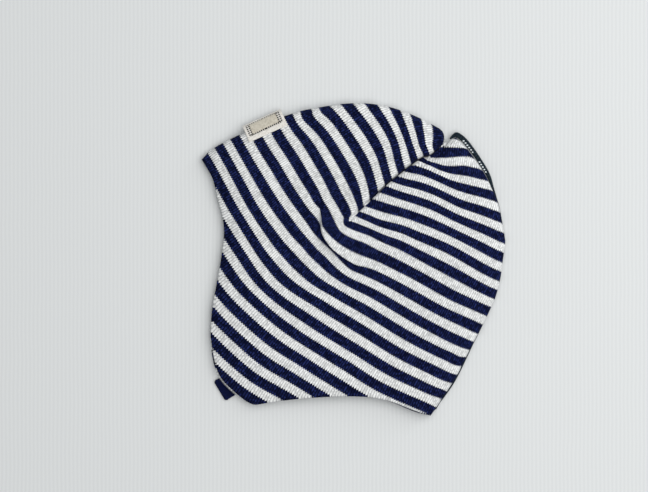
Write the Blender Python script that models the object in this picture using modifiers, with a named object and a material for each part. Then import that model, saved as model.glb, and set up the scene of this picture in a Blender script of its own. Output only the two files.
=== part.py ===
"""Knitted baby hat with earflaps, lying on its side with the face opening to the left.

Sizes are millimetres and the meshes are made in metres. +X runs from the face to the back
of the hat, +Y from the neck to the crown, and +Z up from the surface that it lies on.
Rows of the tables hold shares of the named sizes, so the outline and its folds follow them.
"""

from bisect import bisect_right
from math import cos, exp, hypot, pi, radians, sin

import bpy

MM = 0.001

# Size of the hat as it lies
HAT_DEPTH = 213.2
HAT_TALL = 218.8

# Two layers of jersey sewn together
CLOTH_THICK = 2.0

# Free height inside, between the two sides
HOLLOW_MIDDLE = 7.4
HOLLOW_RIM = 5.4
HOLLOW_FOLD = 6.0
RIM_RISE_LENGTH = 22.0
FOLD_FALL_LENGTH = 7.0
FOLD_DEPTH = 3.4

# Front fold, from the forehead corner to the notch at the crown
FOLD_ROWS = [
    # x share, y share
    (-0.484, 0.340),
    (-0.454, 0.360),
    (-0.402, 0.387),
    (-0.300, 0.432),
    (-0.227, 0.459),
    (-0.168, 0.477),
    (-0.103, 0.489),
    (-0.044, 0.498),
    (0.022, 0.501),
    (0.088, 0.495),
    (0.153, 0.479),
    (0.219, 0.453),
    (0.268, 0.428),
    (0.289, 0.415),
    (0.297, 0.402),
    (0.298, 0.390),
    (0.304, 0.378),
]

# Back edge, from the notch at the crown to the nape corner
BACK_ROWS = [
    # x share, y share, share of the seam's width that shows from above, share of its roll
    (0.304, 0.378, 0.00, 0.00),
    (0.314, 0.387, 0.10, 0.00),
    (0.324, 0.399, 0.40, 0.00),
    (0.339, 0.409, 0.80, 0.00),
    (0.360, 0.399, 1.00, 0.00),
    (0.383, 0.376, 1.00, 0.00),
    (0.416, 0.331, 0.90, 0.10),
    (0.449, 0.278, 0.80, 0.25),
    (0.465, 0.232, 0.50, 0.55),
    (0.482, 0.178, 0.20, 0.85),
    (0.492, 0.120, 0.05, 0.95),
    (0.500, 0.063, 0.00, 1.00),
    (0.493, 0.005, 0.00, 1.00),
    (0.482, -0.069, 0.00, 1.00),
    (0.462, -0.136, 0.00, 1.00),
    (0.429, -0.210, 0.10, 0.95),
    (0.390, -0.290, 0.30, 0.75),
    (0.344, -0.383, 0.35, 0.75),
    (0.308, -0.437, 0.35, 0.75),
    (0.278, -0.475, 0.35, 0.75),
    (0.264, -0.492, 0.35, 0.75),
]

# Rim beside the face, from the forehead corner to the foot of the dart's line
FACE_RIM_ROWS = [
    # x share, y share, share of the far rim's reach beyond the near one
    (-0.499, 0.321, -0.25),
    (-0.480, 0.291, -0.50),
    (-0.461, 0.255, -0.67),
    (-0.446, 0.194, -0.67),
    (-0.432, 0.143, -0.67),
    (-0.425, 0.091, -0.67),
    (-0.431, 0.027, -0.67),
    (-0.446, -0.061, -0.67),
    (-0.462, -0.144, -0.50),
    (-0.468, -0.203, -0.25),
    (-0.469, -0.248, 0.17),
]

# Rim round the earflap and under the neck, from the foot of the dart's line to the nape
NECK_RIM_ROWS = [
    # x share, y share, share of the far rim's reach beyond the near one
    (-0.469, -0.248, 0.17),
    (-0.464, -0.283, 0.67),
    (-0.452, -0.341, 0.83),
    (-0.434, -0.383, 1.00),
    (-0.398, -0.421, 1.00),
    (-0.362, -0.447, 0.33),
    (-0.336, -0.462, -0.17),
    (-0.317, -0.465, -0.50),
    (-0.293, -0.461, -0.67),
    (-0.241, -0.453, -0.67),
    (-0.142, -0.443, -0.67),
    (-0.027, -0.438, -0.67),
    (0.055, -0.441, -0.33),
    (0.121, -0.454, 0.33),
    (0.186, -0.478, 0.67),
    (0.226, -0.492, 0.67),
    (0.254, -0.500, 0.17),
]
FAR_RIM_REACH = 1.2

# Dart of each side, sewn from the notch down to its tip
DART_TIP_SHARE = (-0.025, 0.117)
DART_BOW = 3.2
DART_BOW_SPREAD = 12.0
DART_BOW_ROWS = [
    # fraction of the seam, share of the bow towards the front
    (0.00, 0.00),
    (0.19, 0.44),
    (0.34, 0.78),
    (0.47, 1.00),
    (0.61, 0.94),
    (0.73, 0.81),
    (0.79, 0.50),
    (0.84, -0.25),
    (0.92, -0.25),
    (1.00, 0.00),
]

# The near dart's front side rolls over the seam, its back side lies in a valley
ROLL_HEIGHT = 4.4
VALLEY_DEPTH = 2.4
ROLL_RISE = 3.6
ROLL_SPREAD = 17.0
VALLEY_SPREAD = 6.5
ROLL_ROWS = [
    # fraction of the seam, share of the roll's height, share of the valley's depth
    (-0.08, 0.00, 0.00),
    (0.00, 0.16, 0.21),
    (0.10, 0.55, 0.46),
    (0.25, 0.86, 0.62),
    (0.50, 1.00, 0.75),
    (0.80, 0.91, 0.92),
    (1.00, 0.59, 1.00),
    (1.15, 0.41, 0.83),
]

# The far dart is pressed flat
FAR_DART_GROOVE = 0.7
FAR_DART_WIDTH = 2.5

# Tuck before the near dart's tip: the cloth on the tip's side stands over the rest
TUCK_HEIGHT = 5.2
TUCK_STEP = 1.6
TUCK_SPREAD = 20.0
TUCK_FOOT_DEPTH = 1.3
TUCK_FOOT_SPREAD = 6.0
TUCK_ROWS = [
    # x share, y share, share of the step's height
    (-0.105, 0.192, 0.00),
    (-0.110, 0.158, 0.35),
    (-0.108, 0.122, 0.81),
    (-0.107, 0.088, 1.00),
    (-0.092, 0.056, 0.92),
    (-0.066, 0.025, 0.69),
    (-0.029, -0.001, 0.38),
    (0.014, -0.025, 0.15),
    (0.056, -0.043, 0.00),
]

# Soft crease on the back panel under the crown
CREASE_DEPTH = 1.2
CREASE_WIDTH = 3.2
CREASE_START_SHARE = (0.223, 0.330)
CREASE_END_SHARE = (0.366, 0.260)

# Label folded over the front edge and standing proud of it
LABEL_FROM_CORNER = 45.8
LABEL_TURN = 1.7
LABEL_LENGTH = 29.2
LABEL_LAP = 7.8
LABEL_STANDS = 4.8
LABEL_THICK = 0.8
LABEL_CLEARANCE = 0.4
LABEL_BEND = 1.1

# Ribbon loop at the far earflap
TAG_FROM_RIM_START = 37.5
TAG_TURN = 16.0
TAG_WIDTH = 15.9
TAG_STANDS = 5.5
TAG_RIBBON = 0.5
TAG_THICK = 1.7
TAG_LIFT = 0.1
TAG_CLEARANCE = 0.4

# Overlocked seam, a cord of thread beside the back edge
SEAM_WIDTH = 2.0
SEAM_LEAST_WIDTH = 1.1
SEAM_CLEARANCE = 0.3
SEAM_FROM_NOTCH = 10.3
SEAM_FROM_NAPE = 3.4
SEAM_ROLL_ANGLE = 40.0

# Mesh density
COLUMNS_FRONT = 24
COLUMNS_BY_SEAM = (0.009, 0.003)
COLUMNS_BACK = 31
ROWS_NEAR = 28
ROW_GATHER = 0.6
ROWS_FOLD = 6
ROWS_FAR = 11
LABEL_STATIONS = 10
TAG_STATIONS = 6
SEAM_STATIONS = 56

HALF_CLOTH = CLOTH_THICK / 2
FAR_SHEET_Z = HALF_CLOTH
NEAR_MIDDLE_Z = HOLLOW_MIDDLE + 1.5 * CLOTH_THICK
NEAR_RIM_Z = HOLLOW_RIM + 1.5 * CLOTH_THICK
NEAR_FOLD_Z = HOLLOW_FOLD + 1.5 * CLOTH_THICK


def catmull(p0, p1, p2, p3, t):
    """Point of a Catmull-Rom spline between p1 and p2, for rows of any length."""
    return tuple(
        0.5 * (2 * b + (c - a) * t + (2 * a - 5 * b + 4 * c - d) * t * t
               + (3 * b - a - 3 * c + d) * t * t * t)
        for a, b, c, d in zip(p0, p1, p2, p3)
    )


class Curve:
    """Smooth curve through rows of shares, read by arc length."""

    def __init__(self, rows, scales, steps=24):
        rows = [tuple(value * scale for value, scale in zip(row, scales)) for row in rows]
        points = []
        last = len(rows) - 1
        for i in range(last):
            before = rows[max(i - 1, 0)]
            after = rows[min(i + 2, last)]
            for k in range(steps):
                points.append(catmull(before, rows[i], rows[i + 1], after, k / steps))
        points.append(rows[last])
        lengths = [0.0]
        for a, b in zip(points, points[1:]):
            lengths.append(lengths[-1] + hypot(b[0] - a[0], b[1] - a[1]))
        self.points = points
        self.lengths = lengths
        self.length = lengths[-1]

    def at(self, fraction):
        """Row of the curve at a fraction of its length."""
        target = min(max(fraction, 0.0), 1.0) * self.length
        i = min(max(bisect_right(self.lengths, target) - 1, 0), len(self.points) - 2)
        span = self.lengths[i + 1] - self.lengths[i]
        t = (target - self.lengths[i]) / span
        return tuple(a + (b - a) * t for a, b in zip(self.points[i], self.points[i + 1]))

    def tangent(self, fraction):
        """Unit direction of the curve at a fraction of its length."""
        middle = min(max(fraction, 0.0), 1.0)
        a = self.at(middle - 0.008)
        b = self.at(middle + 0.008)
        size = hypot(b[0] - a[0], b[1] - a[1])
        return (b[0] - a[0]) / size, (b[1] - a[1]) / size

    def nearest(self, x, y):
        """Signed distance from the curve, left of its direction positive, and the row there."""
        best = None
        for a, b in zip(self.points, self.points[1:]):
            dx = b[0] - a[0]
            dy = b[1] - a[1]
            t = ((x - a[0]) * dx + (y - a[1]) * dy) / (dx * dx + dy * dy)
            t = min(max(t, 0.0), 1.0)
            ex = x - a[0] - t * dx
            ey = y - a[1] - t * dy
            gap = hypot(ex, ey)
            if best is None or gap < abs(best[0]):
                sign = 1.0 if dx * ey - dy * ex >= 0 else -1.0
                best = (sign * gap, tuple(p + (q - p) * t for p, q in zip(a, b)))
        return best


def smooth(value, start, end):
    """Smooth step from 0 at start to 1 at end."""
    t = min(max((value - start) / (end - start), 0.0), 1.0)
    return t * t * (3 - 2 * t)


def table(rows, value):
    """Read the columns after the first one of a short table, smoothly between its rows."""
    if value <= rows[0][0]:
        return rows[0][1:]
    for a, b in zip(rows, rows[1:]):
        if value <= b[0]:
            t = smooth(value, a[0], b[0])
            return tuple(p + (q - p) * t for p, q in zip(a[1:], b[1:]))
    return rows[-1][1:]


fold_curve = Curve(FOLD_ROWS, (HAT_DEPTH, HAT_TALL))
back_curve = Curve(BACK_ROWS, (HAT_DEPTH, HAT_TALL, SEAM_WIDTH, SEAM_ROLL_ANGLE))
face_curve = Curve(FACE_RIM_ROWS, (HAT_DEPTH, HAT_TALL, FAR_RIM_REACH))
neck_curve = Curve(NECK_RIM_ROWS, (HAT_DEPTH, HAT_TALL, FAR_RIM_REACH))
tuck_curve = Curve(TUCK_ROWS, (HAT_DEPTH, HAT_TALL, TUCK_HEIGHT), 8)

dart_tip = (DART_TIP_SHARE[0] * HAT_DEPTH, DART_TIP_SHARE[1] * HAT_TALL)
dart_top = (FOLD_ROWS[-1][0] * HAT_DEPTH, FOLD_ROWS[-1][1] * HAT_TALL)
dart_length = hypot(dart_top[0] - dart_tip[0], dart_top[1] - dart_tip[1])
dart_along = ((dart_top[0] - dart_tip[0]) / dart_length, (dart_top[1] - dart_tip[1]) / dart_length)
dart_front = (-dart_along[1], dart_along[0])


def dart_place(x, y):
    """Fraction along the dart seam and distance from its chord, front side positive."""
    dx = x - dart_tip[0]
    dy = y - dart_tip[1]
    along = (dx * dart_along[0] + dy * dart_along[1]) / dart_length
    across = dx * dart_front[0] + dy * dart_front[1]
    return along, across


def seam_bow(along, across):
    """How far the sewn line lies to the front of its chord."""
    return DART_BOW * table(DART_BOW_ROWS, along)[0] * exp(-(across / DART_BOW_SPREAD) ** 2)


def bend_to_seam(x, y):
    """Shift a plan point so that the dart's chord falls on the bowed seam."""
    bow = seam_bow(*dart_place(x, y))
    return x + dart_front[0] * bow, y + dart_front[1] * bow


def roll_height(along, across):
    """Height of the roll in front of the dart seam and of the valley behind it."""
    shares = table(ROLL_ROWS, along)
    rise = ROLL_HEIGHT * shares[0]
    valley = VALLEY_DEPTH * shares[1]
    if across < 0:
        return -valley * exp(-(across / VALLEY_SPREAD) ** 2)
    if across < ROLL_RISE:
        return (rise + valley) * (1 - (1 - across / ROLL_RISE) ** 2) ** 0.5 - valley
    return (rise + valley) * exp(-((across - ROLL_RISE) / ROLL_SPREAD) ** 2) - valley * exp(
        -((across - ROLL_RISE) / ROLL_SPREAD) ** 2)


def tuck_height(x, y):
    """Height of the terrace beside the tuck, and the dip at its foot."""
    across, row = tuck_curve.nearest(x, y)
    if across > 0:
        return row[2] * exp(-(across / TUCK_SPREAD) ** 2) * smooth(across, 0.0, TUCK_STEP)
    return -row[2] / TUCK_HEIGHT * TUCK_FOOT_DEPTH * exp(-(across / TUCK_FOOT_SPREAD) ** 2)


def crease_height(x, y):
    """Depth of the soft crease on the back panel."""
    ax, ay = CREASE_START_SHARE[0] * HAT_DEPTH, CREASE_START_SHARE[1] * HAT_TALL
    bx, by = CREASE_END_SHARE[0] * HAT_DEPTH, CREASE_END_SHARE[1] * HAT_TALL
    size = hypot(bx - ax, by - ay)
    along = ((x - ax) * (bx - ax) + (y - ay) * (by - ay)) / size / size
    across = ((x - ax) * (by - ay) - (y - ay) * (bx - ax)) / size
    fade = smooth(along, -0.05, 0.1) * (1 - smooth(along, 0.3, 1.0))
    return -CREASE_DEPTH * fade * exp(-(across / CREASE_WIDTH) ** 2)


def near_height(x, y, from_rim, from_fold):
    """Height of the middle of the near sheet over a plan point."""
    along, across = dart_place(x, y)
    across -= seam_bow(along, across)
    height = NEAR_MIDDLE_Z - (NEAR_MIDDLE_Z - NEAR_RIM_Z) * exp(-from_rim / RIM_RISE_LENGTH)
    height -= (NEAR_MIDDLE_Z - NEAR_FOLD_Z) * exp(-from_fold / FOLD_FALL_LENGTH)
    return height + roll_height(along, across) + tuck_height(x, y) + crease_height(x, y)


def far_height(x, y):
    """Height of the middle of the far sheet, flat but for its pressed dart."""
    along, across = dart_place(x, y)
    fade = smooth(along, -0.1, 0.1) * (1 - smooth(along, 0.85, 1.0))
    return FAR_SHEET_Z + FAR_DART_GROOVE * fade * exp(-(across / FAR_DART_WIDTH) ** 2)


def column_places():
    """Pairs (part, fraction) from the forehead corner to the nape, closer beside the dart."""
    places = []
    for i in range(COLUMNS_FRONT):
        places.append(("front", 1 - (1 - i / COLUMNS_FRONT) ** 1.25))
    places += [("front", 1 - share) for share in COLUMNS_BY_SEAM]
    for i in range(COLUMNS_BACK + 1):
        places.append(("back", (i / COLUMNS_BACK) ** 1.2))
    return places


def row_places():
    """Fractions from the near rim to the closed edge, closer around the dart's tip."""
    made = []
    for j in range(ROWS_NEAR):
        t = j / ROWS_NEAR
        made.append(t + ROW_GATHER * sin(2 * pi * t) / (2 * pi))
    return made


class Column:
    """One line of the hat, from the near rim over the closed edge to the far rim."""

    def __init__(self, part, fraction):
        closed = fold_curve if part == "front" else back_curve
        rim = face_curve if part == "front" else neck_curve
        edge = closed.at(fraction)
        tangent = closed.tangent(fraction)
        self.outward = (-tangent[1], tangent[0])
        shown = edge[2] if part == "back" else 0.0
        inset = HALF_CLOTH + (shown + SEAM_CLEARANCE if shown > 0 else 0.0)
        self.limit = (edge[0] - self.outward[0] * inset, edge[1] - self.outward[1] * inset)
        rim_row = rim.at(fraction)
        rim_tangent = rim.tangent(fraction)
        self.rim = rim_row[:2]
        self.far_rim = (rim_row[0] + rim_tangent[1] * rim_row[2],
                        rim_row[1] - rim_tangent[0] * rim_row[2])
        run = hypot(self.limit[0] - self.rim[0], self.limit[1] - self.rim[1])
        self.direction = ((self.limit[0] - self.rim[0]) / run, (self.limit[1] - self.rim[1]) / run)
        facing = self.direction[0] * self.outward[0] + self.direction[1] * self.outward[1]
        self.reach = min(FOLD_DEPTH / max(facing, 0.3), 0.7 * run)
        self.depth = self.reach * facing
        self.start = (self.limit[0] - self.direction[0] * self.reach,
                      self.limit[1] - self.direction[1] * self.reach)
        self.run = run - self.reach
        self.edge_z = self.near(1.0)[2]
        self.centre_z = (self.edge_z + FAR_SHEET_Z) / 2
        self.radius_z = (self.edge_z - FAR_SHEET_Z) / 2

    def near(self, s):
        """Point of the near sheet, s from 0 at the rim to 1 where the closed edge begins."""
        x = self.rim[0] + (self.start[0] - self.rim[0]) * s
        y = self.rim[1] + (self.start[1] - self.rim[1]) * s
        x, y = bend_to_seam(x, y)
        return x, y, near_height(x, y, s * self.run, (1 - s) * self.run)

    def fold(self, a):
        """Point of the closed edge, a from 0 at the near sheet to 1 at the far sheet."""
        x, y, high = self.near(1.0)
        low = far_height(x, y)
        out = self.reach * sin(pi * a)
        return (x + self.direction[0] * out, y + self.direction[1] * out,
                (high + low) / 2 + (high - low) / 2 * cos(pi * a))

    def far(self, s):
        """Point of the far sheet, s from 0 at the closed edge to 1 at the far rim."""
        x, y = bend_to_seam(*self.start)
        x += (self.far_rim[0] - x) * s
        y += (self.far_rim[1] - y) * s
        return x, y, far_height(x, y)

    def points(self):
        """All points of the line."""
        made = [self.near(s) for s in row_places()]
        made += [self.fold(i / ROWS_FOLD) for i in range(ROWS_FOLD)]
        made += [self.far(i / ROWS_FAR) for i in range(ROWS_FAR + 1)]
        return made


def make_material(name, colour, roughness):
    """Plain material of one colour."""
    material = bpy.data.materials.new(name)
    material.use_nodes = True
    shader = material.node_tree.nodes["Principled BSDF"]
    shader.inputs["Base Color"].default_value = (*colour, 1.0)
    shader.inputs["Roughness"].default_value = roughness
    shader.inputs["Metallic"].default_value = 0.0
    return material


def add_sheet(name, grid, thickness, material, collection):
    """Open surface through a grid of points in millimetres, made solid with Solidify."""
    rows = len(grid[0])
    points = [tuple(value * MM for value in point) for line in grid for point in line]
    faces = []
    for i in range(len(grid) - 1):
        for j in range(rows - 1):
            first = i * rows + j
            faces.append((first, first + rows, first + rows + 1, first + 1))
    mesh = bpy.data.meshes.new(name)
    mesh.from_pydata(points, [], faces)
    mesh.materials.append(material)
    mesh.shade_smooth()
    sheet = bpy.data.objects.new(name, mesh)
    collection.objects.link(sheet)
    solid = sheet.modifiers.new("thickness", "SOLIDIFY")
    solid.thickness = thickness * MM
    solid.offset = 0.0
    solid.use_quality_normals = True
    return sheet


def add_cord(name, path, material, collection):
    """Round cord through points (x, y, z, radius) in millimetres."""
    curve = bpy.data.curves.new(name, "CURVE")
    curve.dimensions = "3D"
    curve.bevel_depth = MM
    curve.bevel_resolution = 2
    curve.use_fill_caps = True
    spline = curve.splines.new("POLY")
    spline.points.add(len(path) - 1)
    for point, (x, y, z, radius) in zip(spline.points, path):
        point.co = (x * MM, y * MM, z * MM, 1.0)
        point.radius = radius
    curve.materials.append(material)
    cord = bpy.data.objects.new(name, curve)
    collection.objects.link(cord)
    return cord


def build_shell(material, collection):
    """The knitted body: one surface from the near rim over the closed edge to the far rim."""
    grid = [Column(part, fraction).points() for part, fraction in column_places()]
    return add_sheet("hat_shell", grid, CLOTH_THICK, material, collection)


def label_line(low, top):
    """Points of one line of the label, from its near edge over its crest to its far edge."""
    middle = ((low[0] + top[0]) / 2, (low[1] + top[1]) / 2)
    place = min((k / 400 for k in range(2, 240)),
                key=lambda f: hypot(fold_curve.at(f)[0] - middle[0], fold_curve.at(f)[1] - middle[1]))
    column = Column("front", place)
    away = HALF_CLOTH + LABEL_CLEARANCE + LABEL_THICK / 2
    radius_z = column.radius_z + away
    radius_d = column.depth + away
    side = (column.outward[1], -column.outward[0])

    def in_section(point):
        dx = point[0] - column.start[0]
        dy = point[1] - column.start[1]
        return dx * column.outward[0] + dy * column.outward[1], dx * side[0] + dy * side[1]

    first, slide_low = in_section(low)
    crest, slide_top = in_section(top)
    path = []
    for k in range(5):
        share = k / 5
        x = low[0] + (column.start[0] - low[0]) * share
        y = low[1] + (column.start[1] - low[1]) * share
        d = first * (1 - share)
        path.append((d, near_height(x, y, HAT_DEPTH, -d) + away))
    top_z = column.centre_z + radius_z
    bend_z = column.centre_z + LABEL_BEND
    path.append((0.0, top_z))
    for share, fall in ((0.3, 0.06), (0.6, 0.3), (0.85, 0.66)):
        path.append((crest * share, top_z + (bend_z - top_z) * fall))
    for angle in (55, 0, -55):
        path.append((crest - LABEL_THICK / 2 - LABEL_BEND * (1 - cos(radians(angle))),
                     column.centre_z + LABEL_BEND * sin(radians(angle))))
    for angle in (-12, -25, -38):
        path.append((radius_d * cos(radians(angle)),
                     column.centre_z + radius_z * sin(radians(angle))))
    line = []
    for d, z in path:
        slide = slide_low + (slide_top - slide_low) * (d - first) / (crest - first)
        line.append((column.start[0] + column.outward[0] * d + side[0] * slide,
                     column.start[1] + column.outward[1] * d + side[1] * slide, z))
    return line


def turned(direction, degrees):
    """A plan direction turned counterclockwise."""
    c = cos(radians(degrees))
    s = sin(radians(degrees))
    return direction[0] * c - direction[1] * s, direction[0] * s + direction[1] * c


def build_label(material, collection):
    """Woven label across the front edge."""
    place = LABEL_FROM_CORNER / fold_curve.length
    centre = fold_curve.at(place)
    along = turned(fold_curve.tangent(place), LABEL_TURN)
    out = (-along[1], along[0])
    lines = []
    for i in range(LABEL_STATIONS + 1):
        a = LABEL_LENGTH * (i / LABEL_STATIONS - 0.5)
        x = centre[0] + along[0] * a
        y = centre[1] + along[1] * a
        low = (x - out[0] * LABEL_LAP, y - out[1] * LABEL_LAP)
        top = (x + out[0] * LABEL_STANDS, y + out[1] * LABEL_STANDS)
        lines.append(label_line(low, top))
    return add_sheet("front_label", lines, LABEL_THICK, material, collection)


def distance_to_far_rim(x, y, way):
    """How far a point must move along a direction to stand clear of the far earflap's rim."""
    needed = 0.0
    for _ in range(6):
        gap, row = neck_curve.nearest(x + way[0] * needed, y + way[1] * needed)
        needed += row[2] + TAG_CLEARANCE + gap
    return needed


def build_tag(material, collection):
    """Ribbon loop at the far earflap: two layers that turn round at the outer side."""
    place = TAG_FROM_RIM_START / neck_curve.length
    centre = neck_curve.at(place)
    along = turned(neck_curve.tangent(place), -TAG_TURN)
    out = (along[1], -along[0])
    radius = (TAG_THICK - TAG_RIBBON) / 2
    middle = TAG_LIFT + TAG_THICK / 2
    bend = TAG_STANDS - TAG_RIBBON / 2 - radius
    lines = []
    for i in range(TAG_STATIONS + 1):
        a = TAG_WIDTH * (i / TAG_STATIONS - 0.5)
        x = centre[0] + along[0] * a
        y = centre[1] + along[1] * a
        root = distance_to_far_rim(x, y, out)
        half = (root + bend) / 2
        line = [(root, middle + radius), (half, middle + radius)]
        for angle in (90, 45, 0, -45, -90):
            line.append((bend + radius * cos(radians(angle)), middle + radius * sin(radians(angle))))
        line += [(half, middle - radius), (root, middle - radius)]
        lines.append([(x + out[0] * d, y + out[1] * d, z) for d, z in line])
    return add_sheet("edge_tag", lines, TAG_RIBBON, material, collection)


def build_back_seam(material, collection):
    """Overlocked seam along the back edge, rolled under for most of its way."""
    path = []
    start = SEAM_FROM_NOTCH / back_curve.length
    end = 1 - SEAM_FROM_NAPE / back_curve.length
    for i in range(SEAM_STATIONS + 1):
        fraction = start + (end - start) * i / SEAM_STATIONS
        column = Column("back", fraction)
        shown, roll = back_curve.at(fraction)[2:]
        radius = max(shown, SEAM_LEAST_WIDTH) / 2
        away = HALF_CLOTH + SEAM_CLEARANCE + radius
        d = (column.depth + away) * cos(radians(roll)) - column.depth
        z = column.centre_z - (column.radius_z + away) * sin(radians(roll))
        path.append((column.limit[0] + column.outward[0] * d,
                     column.limit[1] + column.outward[1] * d, max(z, radius), radius))
    return add_cord("back_seam", path, material, collection)


for leftover in list(bpy.data.objects):
    bpy.data.objects.remove(leftover)
hat = bpy.data.collections.new("earflap_hat")
bpy.context.scene.collection.children.link(hat)
build_shell(make_material("striped_knit", (0.35, 0.37, 0.45), 0.95), hat)
build_label(make_material("woven_label", (0.76, 0.70, 0.60), 0.8), hat)
build_tag(make_material("navy_ribbon", (0.01, 0.015, 0.06), 0.6), hat)
build_back_seam(make_material("overlock_thread", (0.10, 0.13, 0.18), 0.85), hat)
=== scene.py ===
"""Looks of a striped baby hat with earflaps that lies on its side.

Lengths are metres. The places in the tables are shares of the hat's own sizes, which are
read from the CAD shell's box. +X runs from the face to the back of the hat, +Y from the neck to the crown.
"""

from math import cos, pi, radians, sin

import bpy
import numpy as np
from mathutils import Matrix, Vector


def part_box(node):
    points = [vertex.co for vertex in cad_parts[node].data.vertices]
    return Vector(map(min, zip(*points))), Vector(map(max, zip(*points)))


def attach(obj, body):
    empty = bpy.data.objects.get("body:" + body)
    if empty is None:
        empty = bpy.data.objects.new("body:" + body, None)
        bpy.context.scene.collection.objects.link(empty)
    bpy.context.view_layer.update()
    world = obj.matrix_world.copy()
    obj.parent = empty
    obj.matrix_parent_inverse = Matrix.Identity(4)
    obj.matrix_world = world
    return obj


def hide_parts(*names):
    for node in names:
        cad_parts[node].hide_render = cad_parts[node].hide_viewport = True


MM = 0.001
TINY = 1e-12

# The hat's outline spans these shares of the CAD shell's box
SHELL_DEPTH_SHARE = 0.9982
SHELL_TALL_SHARE = 1.0019

# Cloth and the free height inside it
CLOTH_THICK = 2.0 * MM
HOLLOW_MIDDLE = 7.4 * MM
HOLLOW_RIM = 5.4 * MM
HOLLOW_FOLD = 6.0 * MM
RIM_RISE_LENGTH = 22.0 * MM
# The rim is pressed down along the face, fading out between these shares of the depth
RIM_PRESSED = 3.8 * MM
PRESSED_TO = -0.40
PRESSED_END = -0.12
FOLD_FALL_LENGTH = 7.0 * MM
FOLD_DEPTH = 3.4 * MM
# A line that meets the closed edge aslant starts to turn down further back, as if it met it
# at this share of squarely at least, and within this share of its own length
LEAST_FACING = 0.3
MOST_OF_RUN = 0.7
# The back edge turns down more sharply beside the notch at its top
BACK_FOLD_ROWS = [
    # fraction along the back edge, share of the fold's depth
    (0.00, 1.0),
    (0.02, 0.4),
    (0.06, 0.4),
    (0.12, 1.0),
    (1.00, 1.0),
]
# Within this distance of the forehead and nape corners the cloth thins, to the square root
# of this share of its thickness
CORNER_ROUND = 2.0 * MM
CORNER_LEAST = 0.12

# Front fold, from the forehead corner to the notch at the crown
FOLD_ROWS = [
    # x share, y share
    (-0.484, 0.340),
    (-0.454, 0.360),
    (-0.402, 0.387),
    (-0.300, 0.432),
    (-0.227, 0.459),
    (-0.168, 0.477),
    (-0.103, 0.489),
    (-0.044, 0.498),
    (0.022, 0.501),
    (0.088, 0.495),
    (0.153, 0.479),
    (0.219, 0.453),
    (0.268, 0.428),
    (0.289, 0.415),
    (0.297, 0.402),
    (0.298, 0.390),
    (0.304, 0.378),
]

# Back edge, from the notch at the crown to the nape corner
BACK_ROWS = [
    # x share, y share, share of the seam's width that shows from above, share of its roll
    (0.304, 0.378, 0.00, 0.00),
    (0.314, 0.387, 0.25, 0.00),
    (0.324, 0.399, 0.65, 0.00),
    (0.339, 0.409, 0.95, 0.00),
    (0.360, 0.399, 1.00, 0.00),
    (0.383, 0.376, 1.00, 0.00),
    (0.416, 0.331, 0.90, 0.10),
    (0.449, 0.278, 0.80, 0.25),
    (0.465, 0.232, 0.50, 0.55),
    (0.482, 0.178, 0.20, 0.85),
    (0.492, 0.120, 0.05, 0.95),
    (0.500, 0.063, 0.00, 1.00),
    (0.493, 0.005, 0.00, 1.00),
    (0.482, -0.069, 0.00, 1.00),
    (0.462, -0.136, 0.00, 1.00),
    (0.429, -0.210, 0.10, 0.95),
    (0.390, -0.290, 0.30, 0.75),
    (0.344, -0.383, 0.38, 0.75),
    (0.308, -0.437, 0.38, 0.75),
    (0.278, -0.475, 0.18, 0.90),
    (0.264, -0.492, 0.00, 1.00),
]

# Rim beside the face, from the forehead corner to the foot of the dart's line
FACE_RIM_ROWS = [
    # x share, y share, share of the far rim's reach beyond the near one
    (-0.499, 0.321, -0.25),
    (-0.480, 0.291, -0.50),
    (-0.461, 0.255, -0.67),
    (-0.446, 0.194, -0.67),
    (-0.432, 0.143, -0.67),
    (-0.425, 0.091, -0.67),
    (-0.431, 0.027, -0.67),
    (-0.446, -0.061, -0.67),
    (-0.462, -0.144, -0.50),
    (-0.468, -0.203, -0.25),
    (-0.469, -0.248, 0.17),
]

# Rim round the earflap and under the neck, from the foot of the dart's line to the nape
NECK_RIM_ROWS = [
    # x share, y share, share of the far rim's reach beyond the near one
    (-0.469, -0.248, 0.17),
    (-0.464, -0.283, 0.67),
    (-0.452, -0.341, 0.83),
    (-0.433, -0.382, 0.90),
    (-0.396, -0.419, 1.00),
    (-0.362, -0.447, 0.33),
    (-0.336, -0.462, -0.17),
    (-0.317, -0.465, -0.50),
    (-0.293, -0.461, -0.67),
    (-0.241, -0.453, -0.67),
    (-0.142, -0.443, -0.67),
    (-0.027, -0.438, -0.67),
    (0.055, -0.441, -0.33),
    (0.121, -0.454, 0.33),
    (0.186, -0.478, 0.67),
    (0.226, -0.492, 0.67),
    (0.254, -0.500, 0.17),
]
FAR_RIM_REACH = 1.2 * MM

# Dart of each side, sewn from the notch down to its tip
DART_TIP_SHARE = (-0.025, 0.117)
DART_BOW = 3.2 * MM
DART_BOW_SPREAD = 12.0 * MM
DART_BOW_ROWS = [
    # fraction of the seam, share of the bow towards the front
    (0.00, 0.00),
    (0.19, 0.44),
    (0.34, 0.78),
    (0.47, 1.00),
    (0.61, 0.94),
    (0.73, 0.81),
    (0.79, 0.50),
    (0.84, -0.25),
    (0.92, -0.25),
    (1.00, 0.00),
]

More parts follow.
